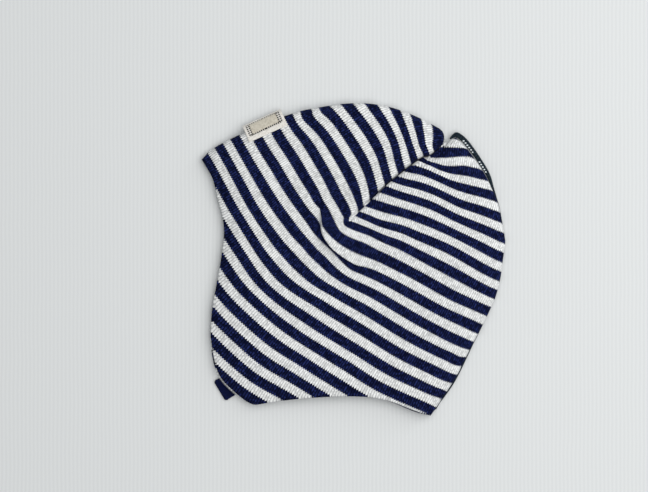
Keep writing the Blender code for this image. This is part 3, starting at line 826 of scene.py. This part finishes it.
def slope_on(grid, values):
    """Gradient of values on a grid of points of the cloth."""
    along_i = np.gradient(grid, axis=0)
    along_j = np.gradient(grid, axis=1)
    slope_i = np.gradient(values, axis=0)
    slope_j = np.gradient(values, axis=1)
    e = np.sum(along_i * along_i, axis=-1)
    f = np.sum(along_i * along_j, axis=-1)
    g = np.sum(along_j * along_j, axis=-1)
    size = np.maximum(e * g - f * f, 1e-24)
    return (((g * slope_i - f * slope_j) / size)[..., None] * along_i
            + ((e * slope_j - f * slope_i) / size)[..., None] * along_j)


def along_stripes(grid, stripes):
    """Unit direction along the stripes at each point of a grid."""
    facing = np.cross(np.gradient(grid, axis=0), np.gradient(grid, axis=1))
    return unit(np.cross(facing, slope_on(grid, stripes)))


def number_wales(grids, courses, joined):
    """Wale numbers on the front and back grids: they rise evenly along the stripes.

    The numbers fit the courses best in the least squares sense, above all on the near sheet.
    They run on over the seam column where joined is true, and the closed back edge cuts them,
    because the wales of a hat that is sewn there don't meet.
    """
    rows = grids[0].shape[1]
    first = len(grids[0]) * rows
    total = first + len(grids[1]) * rows
    names = [np.arange(first).reshape(-1, rows), np.arange(first, total).reshape(-1, rows)]
    names[1][0, joined] = names[0][-1, joined]
    starts, ends, weights, rises = [], [], [], []
    for grid, name, course, is_back in zip(grids, names, courses, (False, True)):
        for axis in (0, 1):
            step = np.diff(grid, axis=axis)
            aside = np.linalg.norm(np.gradient(grid, axis=1 - axis), axis=-1)
            weight = between(aside, axis) / np.maximum(np.linalg.norm(step, axis=-1), 1e-5)
            weight[:, MIDDLE_OF_FOLD:] *= FAR_WALE_WEIGHT
            if is_back and axis == 1:
                weight[:, MIDDLE_OF_FOLD] = 0
            starts.append((name[:-1] if axis == 0 else name[:, :-1]).ravel())
            ends.append((name[1:] if axis == 0 else name[:, 1:]).ravel())
            weights.append(weight.ravel())
            rises.append(np.sum(between(course, axis) * step, axis=-1).ravel() / WALE_PITCH)
    starts, ends, weights, rises = (np.concatenate(v) for v in (starts, ends, weights, rises))
    scale = np.bincount(starts, weights, total) + np.bincount(ends, weights, total) + TINY

    def gather(flow):
        return np.bincount(ends, flow, total) - np.bincount(starts, flow, total)

    wales = np.zeros(total)
    residual = gather(weights * rises)
    search = residual / scale
    size = residual @ search
    for _ in range(WALE_SOLVER_STEPS):
        moved = gather(weights * (search[ends] - search[starts]))
        rate = size / (search @ moved)
        wales += rate * search
        residual -= rate * moved
        scaled = residual / scale
        grown = residual @ scaled
        search = scaled + grown / size * search
        size = grown
    return [wales[name] for name in names]


def between(values, axis):
    """Means of the neighbours on a grid along an axis."""
    if axis == 0:
        return (values[:-1] + values[1:]) / 2
    return (values[:, :-1] + values[:, 1:]) / 2


def shell_sheets():
    """Columns of the front and of the back part, with the two sheets of cloth on each."""
    t_front = 1 - (1 - np.arange(COLUMNS_FRONT + 1) / COLUMNS_FRONT) ** FRONT_GATHER_POWER
    t_back = (np.arange(COLUMNS_BACK + 1) / COLUMNS_BACK) ** BACK_GATHER_POWER
    front = Columns(fold_curve, face_curve, t_front)
    back = Columns(back_curve, neck_curve, t_back)
    from_corner = (t_front * fold_curve.length, (1 - t_back) * back_curve.length)
    made = []
    for part, distance in zip((front, back), from_corner):
        share = np.clip(distance / CORNER_ROUND, 0, 1)
        part.half = half_cloth * np.sqrt(np.clip(1 - (1 - share) ** 2, CORNER_LEAST, 1))
        near = part.near(part.rows(ROWS_NEAR))
        far = part.far(np.linspace(0, 1, ROWS_FAR)[None, :].repeat(len(distance), axis=0))
        made.append((part, near, far))
    for ahead, behind in zip(made[0][1:], made[1][1:]):
        behind[0] = ahead[-1]
    for name in ("outward", "direction", "rim_out", "reach", "half"):
        getattr(back, name)[0] = getattr(front, name)[-1]
    return made


def round_the_fold(outside, stripes):
    """Let the stripes run on round the front fold, and bend back to their course past it."""
    middle = MIDDLE_OF_FOLD
    edge = outside[:, middle, :2]
    inner = outside[:, ROWS_NEAR - 1, :2]
    slope = (stripes[:, middle] - stripes[:, ROWS_NEAR - 1]) / np.linalg.norm(edge - inner, axis=1)
    past = np.linalg.norm(outside[:, middle:, :2] - edge[:, None], axis=-1)
    share = np.clip(1 - past / STRIPE_BEND, 0, 1) ** 2
    stripes[:, middle:] += 2 * slope[:, None] * past * share


def pattern_grids(sheets):
    """Stripe and wale numbers on the cloth's outside, front and back part."""
    outsides, stripes, courses = [], [], []
    for (part, near, far), is_back in zip(sheets, (False, True)):
        outside = sheet_side(part, near, far, 1)
        x, y = outside[..., 0], outside[..., 1]
        numbers = stripe_number(x, y, is_back)
        numbers[:, :ROWS_NEAR] += tuck_shift(x[:, :ROWS_NEAR], y[:, :ROWS_NEAR])
        if not is_back:
            round_the_fold(outside, numbers)
        numbers[:, -ROWS_FAR:] += FAR_RIM_SHIFT * smooth(np.arange(ROWS_FAR), 0, ROWS_FAR - 1)
        outsides.append(outside)
        stripes.append(numbers)
        courses.append(along_stripes(outside, numbers))
    seam = outsides[0][-1]
    joined = dart_place(seam[:, 0], seam[:, 1])[0] < 0
    return stripes, number_wales(outsides, courses, joined)


def tube_faces(count, around):
    """Corners of the four-sided faces between closed rings of points, ring after ring."""
    k, m = np.meshgrid(np.arange(count - 1), np.arange(around), indexing="ij")
    after = (m + 1) % around
    corners = (k * around + m, (k + 1) * around + m, (k + 1) * around + after, k * around + after)
    return np.stack(corners, axis=-1).reshape(-1, 4)


def build_shell(material):
    """The knitted body: both sides of the cloth, rounded at the rims, as one closed mesh."""
    sheets = shell_sheets()
    stripes, wales = pattern_grids(sheets)
    loops, patterns, ahead = [], [], []
    for (part, near, far), stripe, wale, is_back in zip(sheets, stripes, wales, (False, True)):
        far_rim = rim_round(part, far[:, -1])
        far_rim[..., 2] = 2 * far[:, -1:, 2] - far_rim[..., 2]
        loops.append(np.concatenate([
            sheet_side(part, near, far, 1),
            far_rim,
            sheet_side(part, near, far, -1)[:, ::-1],
            rim_round(part, near[:, 0])[:, ::-1],
        ], axis=1))
        pattern = np.stack([stripe, wale], axis=-1)
        rim = ROWS_RIM - 1
        far_end = pattern[:, -1:].repeat(rim, axis=1)
        near_end = pattern[:, :1].repeat(rim, axis=1)
        pattern = np.concatenate([pattern, far_end, pattern[:, ::-1], near_end], axis=1)
        patterns.append(pattern)
        following = np.roll(pattern, -1, axis=1)
        if is_back:
            inner_cut = 2 * stripe.shape[1] + rim - 2 - MIDDLE_OF_FOLD
            following[:, MIDDLE_OF_FOLD, 1] = pattern[:, MIDDLE_OF_FOLD, 1]
            following[:, inner_cut, 1] = pattern[:, inner_cut, 1]
        ahead.append(following)
    points = np.concatenate([loops[0], loops[1][1:]])
    columns, around = points.shape[:2]
    faces = tube_faces(columns, around).tolist()
    corner_patterns = [
        np.stack([pattern[:-1], pattern[1:], following[1:], following[:-1]], axis=2).reshape(-1, 2)
        for pattern, following in zip(patterns, ahead)
    ]
    across = stripes[0].shape[1]
    for column, pattern in ((0, patterns[0][0]), (columns - 1, patterns[1][-1])):
        for cap in end_cap(across, around):
            if column:
                cap = cap[::-1]
            faces.append([column * around + i for i in cap])
            corner_patterns.append(pattern[cap])
    mesh = bpy.data.meshes.new("hat_knit")
    mesh.from_pydata(points.reshape(-1, 3).tolist(), [], faces)
    mesh.uv_layers.new(name="knit").data.foreach_set("uv", np.concatenate(corner_patterns).ravel())
    # Map for the painted shadow along the dart seam, on the near sheet's outside only
    along, across = dart_place(points[..., 0], points[..., 1])
    place = np.stack([along, (across - seam_bow(along, across)) / MM], axis=-1)
    place[:, ROWS_NEAR:] = NO_DART_LINE
    add_point_map(mesh, "dart", place)
    return add_piece("hat_knit", mesh, material)


def add_point_map(mesh, name, places):
    """UV map with one pair of numbers for each point of a mesh."""
    corners = np.empty(len(mesh.loops), dtype=int)
    mesh.loops.foreach_get("vertex_index", corners)
    mesh.uv_layers.new(name=name).data.foreach_set("uv", places.reshape(-1, 2)[corners].ravel())


def end_cap(across, around):
    """Faces that close the cloth at one end, as places in the loop of a column."""
    first_inside = across + ROWS_RIM - 1
    inside = [first_inside + across - 1 - j for j in range(across)]
    faces = [[j, j + 1, inside[j + 1], inside[j]] for j in range(across - 1)]
    faces.append(list(range(across - 1, first_inside + 1)))
    faces.append(list(range(inside[0], around)) + [0])
    return faces


def add_piece(name, mesh, *materials):
    """Object for a mesh, smooth and with its materials."""
    mesh.shade_smooth()
    for material in materials:
        mesh.materials.append(material)
    piece = bpy.data.objects.new(name, mesh)
    bpy.context.scene.collection.objects.link(piece)
    return piece


def build_band(name, lines, thickness, across, material):
    """Flat band of cloth through lines of points, with places in metres as its UV map.

    across holds the places along the band's length, one for each line.
    """
    lines = np.array(lines)
    normal = unit(np.cross(np.gradient(lines, axis=0), np.gradient(lines, axis=1)))
    normal *= np.sign(normal[len(lines) // 2, 0, 2])
    steps = np.linalg.norm(np.diff(lines, axis=1), axis=-1)
    down = np.concatenate([np.zeros((len(lines), 1)), np.cumsum(steps, axis=1)], axis=1)
    loops = np.concatenate([lines + normal * thickness / 2,
                            (lines - normal * thickness / 2)[:, ::-1]], axis=1)
    down = np.concatenate([down, down[:, ::-1]], axis=1)
    count, around = loops.shape[:2]
    faces = tube_faces(count, around).tolist()
    half = around // 2
    for first in (0, (count - 1) * around):
        for m in range(half - 1):
            cap = (first + m, first + m + 1, first + around - 2 - m, first + around - 1 - m)
            faces.append(cap[::-1] if first else cap)
    mesh = bpy.data.meshes.new(name)
    mesh.from_pydata(loops.reshape(-1, 3).tolist(), [], faces)
    add_point_map(mesh, "weave", np.stack([np.repeat(across, around), down.ravel()], axis=1))
    piece = add_piece(name, mesh, material)
    bevel = piece.modifiers.new("edge", "BEVEL")
    bevel.width = thickness * BAND_EDGE_SHARE
    bevel.segments = 2
    bevel.limit_method = "ANGLE"
    return piece


def turned(direction, degrees):
    """A plan direction turned counterclockwise."""
    c, s = cos(radians(degrees)), sin(radians(degrees))
    return np.array((direction[0] * c - direction[1] * s, direction[0] * s + direction[1] * c))


def label_line(low, top):
    """Points of one line of the label, from its near edge over its crest to its far edge."""
    gaps = np.linalg.norm(fold_curve.at(LABEL_FOLD_PLACES) - (low + top) / 2, axis=1)
    column = Columns(fold_curve, face_curve, LABEL_FOLD_PLACES[[np.argmin(gaps)]])
    start, outward = column.start[0], column.outward[0]
    edge_z = column.near(np.ones((1, 1)))[0, 0, 2]
    centre_z = (edge_z + half_cloth) / 2
    away = half_cloth + LABEL_CLEARANCE + LABEL_THICK / 2
    radius_z = (edge_z - half_cloth) / 2 + away
    radius_d = column.reach[0] * column.facing[0] + away
    side = np.array((outward[1], -outward[0]))
    first, slide_low = (low - start) @ outward, (low - start) @ side
    crest, slide_top = (top - start) @ outward, (top - start) @ side
    path = []
    for k in range(LABEL_LAP_POINTS):
        share = k / LABEL_LAP_POINTS
        x, y = low + (start - low) * share
        d = first * (1 - share)
        path.append((d, near_height(x, y, hat_depth, -d) + away))
    top_z = centre_z + radius_z
    bend_z = centre_z + LABEL_BEND
    path.append((0.0, top_z))
    for share in LABEL_FALL_SHARES:
        fall = share ** LABEL_FALL_POWER * LABEL_FALL
        path.append((crest * share, top_z + (bend_z - top_z) * fall))
    for angle in LABEL_BEND_ANGLES:
        path.append((crest - LABEL_THICK / 2 - LABEL_BEND * (1 - cos(radians(angle))),
                     centre_z + LABEL_BEND * sin(radians(angle))))
    for angle in LABEL_UNDER_ANGLES:
        path.append((radius_d * cos(radians(angle)), centre_z + radius_z * sin(radians(angle))))
    line = []
    for d, z in path:
        slide = slide_low + (slide_top - slide_low) * (d - first) / (crest - first)
        x, y = start + outward * d + side * slide
        line.append((x, y, z))
    return line


def build_label(material):
    """Woven label that is sewn across the front edge."""
    place = LABEL_FROM_CORNER / fold_curve.length
    centre = fold_curve.at(place)
    along = turned(fold_curve.tangent(place), LABEL_TURN)
    out = np.array((-along[1], along[0]))
    across = np.linspace(-0.5, 0.5, LABEL_STATIONS + 1) * LABEL_LENGTH
    lines = [label_line(centre + along * a - out * LABEL_LAP, centre + along * a + out * LABEL_STANDS)
             for a in across]
    return build_band("woven_label", lines, LABEL_THICK, across, material)


def distance_to_far_rim(x, y, way):
    """How far a point must move along a direction to stand clear of the far earflap's rim."""
    needed = 0.0
    for _ in range(TAG_CLEARING_STEPS):
        gap, row = neck_curve.nearest(np.array([x + way[0] * needed]), np.array([y + way[1] * needed]))
        needed += row[0, 2] + TAG_CLEARANCE + gap[0]
    return needed


def build_tag(material):
    """Ribbon loop at the far earflap: two layers that turn round at the outer side."""
    place = TAG_FROM_RIM_START / neck_curve.length
    centre = neck_curve.at(place)
    along = turned(neck_curve.tangent(place), -TAG_TURN)
    out = np.array((along[1], -along[0]))
    radius = (TAG_THICK - TAG_RIBBON) / 2
    middle = TAG_LIFT + TAG_THICK / 2
    bend = TAG_STANDS - TAG_RIBBON / 2 - radius
    across = np.linspace(-0.5, 0.5, TAG_STATIONS + 1) * TAG_WIDTH
    lines = []
    for a in across:
        x, y = centre[:2] + along * a
        root = distance_to_far_rim(x, y, out)
        rounding = max(0.0, abs(a) - TAG_WIDTH / 2 + TAG_CORNER)
        turn = bend - TAG_CORNER + (TAG_CORNER ** 2 - rounding ** 2) ** 0.5
        shares = np.arange(TAG_RUN_POINTS) / TAG_RUN_POINTS
        line = [(root + (turn - root) * share, middle + radius) for share in shares]
        for angle in TAG_BEND_ANGLES:
            line.append((turn + radius * cos(radians(angle)), middle + radius * sin(radians(angle))))
        line += [(turn + (root - turn) * share, middle - radius) for share in 1 - shares[::-1]]
        lines.append([(x + out[0] * d, y + out[1] * d, z) for d, z in line])
    return build_band("ribbon_tag", lines, TAG_RIBBON, across, material)


def sweep(path, widths, heights, sides):
    """Points and faces of an oval tube along a path, closed at both ends."""
    path = np.array(path)
    tangent = unit(np.gradient(path, axis=0))
    side = unit(np.cross(tangent, (0.0, 0.0, 1.0)))
    up = np.cross(side, tangent)
    turn = 2 * pi * np.arange(sides) / sides
    ring = (side * widths[:, None])[:, None] * np.cos(turn)[:, None]
    ring = ring + (up * heights[:, None])[:, None] * np.sin(turn)[:, None]
    points = (path[:, None] + ring).reshape(-1, 3)
    faces = np.roll(tube_faces(len(path), sides)[:, ::-1], 1, axis=1).tolist()
    faces.append(list(range(sides))[::-1])
    faces.append(list(range((len(path) - 1) * sides, len(path) * sides)))
    return points, faces


def seam_path(fractions):
    """Middle, half width and half height of the overlocked seam at fractions of the back edge."""
    columns = Columns(back_curve, neck_curve, fractions)
    edge_z = columns.near(np.ones((len(fractions), 1)))[:, 0, 2]
    centre_z = (edge_z + half_cloth) / 2
    shown, roll = back_curve.at(fractions)[:, 2:].T
    width = np.maximum(shown, SEAM_LEAST_WIDTH) / 2
    height = np.minimum(width, SEAM_THICK / 2)
    away = half_cloth + SEAM_CLEARANCE + width
    depth = columns.reach * columns.facing
    roll = np.radians(roll)
    d = (depth + away) * np.cos(roll) - depth
    z = centre_z - ((edge_z - half_cloth) / 2 + away) * np.sin(roll)
    plan = columns.limit + columns.outward * d[:, None]
    return np.column_stack([plan, np.maximum(z, height)]), width, height


def build_back_seam(core_material, *thread_materials):
    """Overlocked seam along the back edge: the cloth's edge with two threads wound round it."""
    start = SEAM_FROM_NOTCH / back_curve.length
    end = 1 - SEAM_FROM_NAPE / back_curve.length
    turns = round((end - start) * back_curve.length / SEAM_STITCH)
    fractions = np.linspace(start, end, turns * SEAM_TURN_POINTS + 1)
    middle, width, height = seam_path(fractions)
    core = [v[::SEAM_CORE_STEP] for v in (middle, width * SEAM_CORE_SHARE, height * SEAM_CORE_SHARE)]
    points, faces = sweep(*core, SEAM_CORE_SIDES)
    slots = [0] * len(faces)
    tangent = unit(np.gradient(middle, axis=0))
    side = unit(np.cross(tangent, (0.0, 0.0, 1.0)))
    up = np.cross(side, tangent)
    length = fractions * back_curve.length
    # material, way round, middle and reach as shares of the width, half thread, start, end
    pale = (1, 1, SEAM_PALE_MIDDLE, SEAM_PALE_REACH, SEAM_PALE_THREAD / 2)
    dark = (2, -1, 0.0, 1.0, SEAM_THREAD / 2)
    wraps = [pale + run for run in SEAM_PALE_RUNS] + [dark + (0.0, back_curve.length)]
    for slot, way, shift, reach, half_thread, first, last in wraps:
        turn = way * 2 * pi * np.arange(len(fractions)) / SEAM_TURN_POINTS
        across = width * shift + (width * reach - half_thread) * np.cos(turn)
        rise = (height - half_thread * THREAD_SUNK) * np.sin(turn)
        thread = middle + side * across[:, None] + up * rise[:, None]
        thread = thread[(length > first) & (length < last)]
        thick = np.full(len(thread), half_thread)
        wound = sweep(thread, thick, thick, THREAD_SIDES)
        faces += [[len(points) + i for i in face] for face in wound[1]]
        points = np.concatenate([points, wound[0]])
        slots += [slot] * len(wound[1])
    mesh = bpy.data.meshes.new("overlock_seam")
    mesh.from_pydata(points.tolist(), [], faces)
    piece = add_piece("overlock_seam", mesh, core_material, *thread_materials)
    mesh.polygons.foreach_set("material_index", slots)
    return piece


def node_maths(operation):
    """Method of a value that adds a maths node."""
    def method(*values):
        return values[0].shader.math(operation, *values)
    return method


class Value:
    """Output of a shader node. Sums and comparisons with it add maths nodes."""

    def __init__(self, shader, socket):
        self.shader = shader
        self.socket = socket

    __add__ = node_maths("ADD")
    __sub__ = node_maths("SUBTRACT")
    __mul__ = node_maths("MULTIPLY")
    __truediv__ = node_maths("DIVIDE")
    __pow__ = node_maths("POWER")
    __abs__ = node_maths("ABSOLUTE")
    __lt__ = node_maths("LESS_THAN")
    __gt__ = node_maths("GREATER_THAN")
    larger = node_maths("MAXIMUM")
    fraction = node_maths("FRACT")
    floor = node_maths("FLOOR")

    def __rsub__(self, other):
        return self.shader.math("SUBTRACT", other, self)

    def wave(self, pitch):
        """Sine that repeats with a pitch."""
        return self.shader.math("SINE", self * (2 * pi / pitch))


class Shader:
    """Short calls that add nodes to a material's node tree."""

    def __init__(self, name, roughness, sheen=0.0):
        self.material = bpy.data.materials.new(name)
        self.material.use_nodes = True
        self.tree = self.material.node_tree
        self.surface = self.tree.nodes["Principled BSDF"]
        self.surface.inputs["Roughness"].default_value = roughness
        self.surface.inputs["Sheen Weight"].default_value = sheen
        self.surface.inputs["Specular IOR Level"].default_value = CLOTH_SPECULAR

    def link(self, value, socket):
        """Feed a socket from another node's output or with a plain value."""
        if isinstance(value, Value):
            self.tree.links.new(value.socket, socket)
        else:
            socket.default_value = value

    def node(self, kind, inputs, output=0, **settings):
        """One output of a new node with its settings and inputs."""
        node = self.tree.nodes.new("ShaderNode" + kind)
        for setting, value in settings.items():
            setattr(node, setting, value)
        for socket, value in inputs.items():
            self.link(value, node.inputs[socket])
        return Value(self, node.outputs[output])

    def math(self, operation, *values):
        """Output of a maths node."""
        return self.node("Math", dict(enumerate(values)), operation=operation)

    def ramp(self, value, low, high, out_low=0.0, out_high=1.0):
        """Output that runs smoothly between two values as the input does."""
        inputs = dict(enumerate((value, low, high, out_low, out_high)))
        return self.node("MapRange", inputs, interpolation_type="SMOOTHSTEP")

    def mix(self, share, first, second):
        """Mix of two colours."""
        inputs = {"Factor": share, "A": first, "B": second}
        return self.node("Mix", inputs, "Result", data_type="RGBA")

    def noise(self, vector, scale, detail=2.0):
        """Soft noise around 0.5 over a coordinate."""
        return self.node("TexNoise", {"Vector": vector, "Scale": scale, "Detail": detail}, "Fac")

    def chance(self, x, y):
        """Random number from 0 to 1 that belongs to a pair of whole numbers."""
        pair = self.node("CombineXYZ", {"X": x, "Y": y})
        return self.node("TexWhiteNoise", {"Vector": pair}, "Value", noise_dimensions="2D")

    def place(self):
        """The object's own coordinates."""
        return self.node("TexCoord", {}, "Object")

    def pair(self, vector):
        """The first two numbers of a vector."""
        x = self.node("SeparateXYZ", {0: vector}, "X")
        return x, Value(self, x.socket.node.outputs["Y"])

    def map(self, name):
        """The two numbers of a UV map."""
        return self.pair(self.node("UVMap", {}, "UV", uv_map=name))

    def bump(self, height, distance):
        """Feed the surface's normal from a height in metres."""
        normal = self.node("Bump", {"Distance": distance, "Height": height}, "Normal")
        self.link(normal, self.surface.inputs["Normal"])

    def colour(self, value):
        """Feed the surface's base colour."""
        self.link(value, self.surface.inputs["Base Color"])


def knit_material():
    """Fine jersey in dark and light stripes, with its wales, its stitch feet and painted shade and glints.
    """
    shader = Shader("striped_knit", KNIT_ROUGHNESS)
    stripe, wale = shader.map("knit")
    place = shader.place()
    wobble = shader.noise(place, WOBBLE_GRAIN) - 0.5
    wale = wale + wobble * WALE_WOBBLE
    from_middle = abs(wale.fraction() - 0.5)
    bent = stripe + from_middle * (2 * TOOTH_HEIGHT) + wobble * EDGE_NOISE
    phase = (bent + (DARK_SHARE - TOOTH_HEIGHT) / 2).fraction()
    dark = 1.0 - shader.ramp(phase, DARK_SHARE - STRIPE_BLUR, DARK_SHARE + STRIPE_BLUR)
    dark = dark * shader.ramp(phase, 0.0, 2 * STRIPE_BLUR)
    groove = shader.ramp(from_middle, GROOVE_FROM, 0.5)
    course = bent * COURSES_PER_STRIPE
    foot = abs(course.fraction() - 0.5)
    stitch = shader.chance(wale.floor(), course.floor())
    speck = shader.noise(place, SPECK_GRAIN, 1.0)
    light = shader.mix(stitch ** LIGHT_SHADE_POWER, LIGHT_YARN, LIGHT_YARN_SHADE)
    # Painted shade darkens the light yarn in the grooves between the wales
    light = shader.mix(groove * PAINTED_GROOVE_SHADE_SHARE, light, LIGHT_YARN_PAINTED_GROOVE_SHADE)
    # Painted glints on the dark yarn's ridges, at random from stitch to stitch, fading to painted shade in
    # its grooves
    painted_glint = stitch ** PAINTED_GLINT_POWER * PAINTED_GLINT_GAIN + PAINTED_GLINT_LEAST
    deep = shader.mix((1.0 - groove) * painted_glint, DARK_YARN_PAINTED_GROOVE_SHADE, DARK_YARN)
    # Painted shadow in the crease of the dart seam, drawn as a dark line
    along, across = shader.map("dart")
    line = shader.ramp(abs(across), DART_LINE_HALF / 3, DART_LINE_HALF, DART_LINE_STRENGTH, 0.0)
    line = line * shader.ramp(along, *DART_LINE_START)
    line = line * shader.ramp(along, *DART_LINE_END, 1.0, 0.0)
    shader.colour(shader.mix(line, shader.mix(dark, light, deep), DART_LINE_PAINTED_SHADOW))
    shader.bump(speck * SPECK_RISE - groove * GROOVE_DROP - foot * FOOT_DROP, KNIT_RELIEF)
    return shader.material


def label_material():
    """Woven label with a plain frame of dark stitches, two lines deep at both ends."""
    shader = Shader("woven_label", LABEL_ROUGHNESS, LABEL_SHEEN)
    along, down = shader.map("weave")
    along = abs(along)
    end = LABEL_LENGTH / 2 - LABEL_FRAME_END
    inner_end = end - LABEL_FRAME_STEP

    def line(value, place):
        return abs(value - place) < LABEL_FRAME_LINE / 2

    def dashes(value):
        return (value / LABEL_DASH).fraction() < LABEL_DASH_SHARE

    within = (down > LABEL_FRAME_LOW) * (down < LABEL_FRAME_HIGH)
    ends = line(along, end).larger(line(along, inner_end)) * within * dashes(down)
    sides = line(down, LABEL_FRAME_LOW).larger(line(down, LABEL_FRAME_HIGH))
    sides = sides * (along < end) * dashes(along)
    fleck = shader.ramp(shader.noise(shader.place(), LABEL_GRAIN), *LABEL_FLECK)
    margin = shader.mix(fleck, LABEL_MARGIN, LABEL_MARGIN_SHADE)
    field = shader.mix(fleck, LABEL_FIELD, LABEL_FIELD_SHADE)
    cloth = shader.mix((along < inner_end) * within, margin, field)
    shader.colour(shader.mix(ends.larger(sides), cloth, LABEL_THREAD))
    shader.bump(down.wave(LABEL_WEFT) * along.wave(LABEL_WARP), LABEL_RELIEF)
    return shader.material


def ribbon_material():
    """Dark satin ribbon with fine slanting ribs."""
    shader = Shader("navy_ribbon", RIBBON_ROUGHNESS, RIBBON_SHEEN)
    along, down = shader.map("weave")
    fleck = shader.noise(shader.place(), RIBBON_GRAIN)
    shader.colour(shader.mix(shader.ramp(fleck, *RIBBON_FLECK), RIBBON_COLOUR, RIBBON_SHADE))
    shader.bump((along + down).wave(RIBBON_RIB), RIBBON_RELIEF)
    return shader.material


def thread_material(name, colour, shade):
    """Spun thread with a fine uneven surface."""
    shader = Shader(name, THREAD_ROUGHNESS, THREAD_SHEEN)
    fleck = shader.noise(shader.place(), THREAD_GRAIN)
    shader.colour(shader.mix(shader.ramp(fleck, *THREAD_FLECK), colour, shade))
    shader.bump(fleck, THREAD_RELIEF)
    return shader.material


def add_floor():
    """Plain pale floor with a faint fine rib, painted as stripes of shade."""
    mesh = bpy.data.meshes.new("floor")
    size = FLOOR_SIZE / 2
    mesh.from_pydata([(-size, -size, 0), (size, -size, 0), (size, size, 0), (-size, size, 0)],
                     [], [(0, 1, 2, 3)])
    shader = Shader("pale_floor", FLOOR_ROUGHNESS)
    place = shader.place()
    across = shader.pair(place)[0] + shader.noise(place, FLOOR_DRIFT_GRAIN, 3.0) * FLOOR_DRIFT
    # The rib has no relief: it is painted as stripes of shade
    share = across.wave(FLOOR_RIB) * 0.5 + 0.5
    shader.colour(shader.mix(share, FLOOR_COLOUR, FLOOR_RIB_PAINTED_SHADE))
    mesh.materials.append(shader.material)
    floor = bpy.data.objects.new("floor", mesh)
    bpy.context.scene.collection.objects.link(floor)


def add_light(name, place, size, energy, colour):
    """Square soft light that looks at the hat."""
    light = bpy.data.lights.new(name, "AREA")
    light.size = size
    light.energy = energy
    light.color = colour
    lamp = bpy.data.objects.new(name, light)
    lamp.visible_camera = False
    lamp.location = place
    lamp.rotation_euler = (-Vector(place)).to_track_quat("-Z", "Y").to_euler()
    bpy.context.scene.collection.objects.link(lamp)


def add_camera():
    """Camera straight above the hat, with the photograph's frame."""
    camera = bpy.data.cameras.new("camera")
    camera.sensor_width = SENSOR_WIDTH
    camera.lens = SENSOR_WIDTH * CAMERA_HEIGHT / VIEW_WIDTH
    camera.clip_start = CAMERA_NEAREST
    rig = bpy.data.objects.new("camera", camera)
    rig.location = (VIEW_CENTRE[0], VIEW_CENTRE[1], CAMERA_HEIGHT + VIEW_LEVEL)
    bpy.context.scene.collection.objects.link(rig)
    bpy.context.scene.camera = rig


hat_knit = build_shell(knit_material())
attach(hat_knit, "root")
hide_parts("hat_shell")

woven_label = build_label(label_material())
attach(woven_label, "root")
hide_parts("front_label")

ribbon_tag = build_tag(ribbon_material())
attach(ribbon_tag, "root")
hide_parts("edge_tag")

overlock_seam = build_back_seam(
    thread_material("overlock_edge", OVERLOCK_EDGE, OVERLOCK_EDGE_SHADE),
    thread_material("overlock_pale_thread", OVERLOCK_PALE, OVERLOCK_PALE_SHADE),
    thread_material("overlock_dark_thread", OVERLOCK_DARK, OVERLOCK_DARK_SHADE))
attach(overlock_seam, "root")
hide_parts("back_seam")

add_floor()
add_light("key_light", KEY_PLACE, KEY_SIZE, KEY_ENERGY, KEY_COLOUR)
add_light("side_light", SIDE_PLACE, SIDE_SIZE, SIDE_ENERGY, SIDE_COLOUR)
world = bpy.data.worlds.new("world")
world.use_nodes = True
world.node_tree.nodes["Background"].inputs["Color"].default_value = (*SKY_COLOUR, 1.0)
world.node_tree.nodes["Background"].inputs["Strength"].default_value = SKY_STRENGTH
bpy.context.scene.world = world
bpy.context.scene.view_settings.view_transform = "Standard"
add_camera()
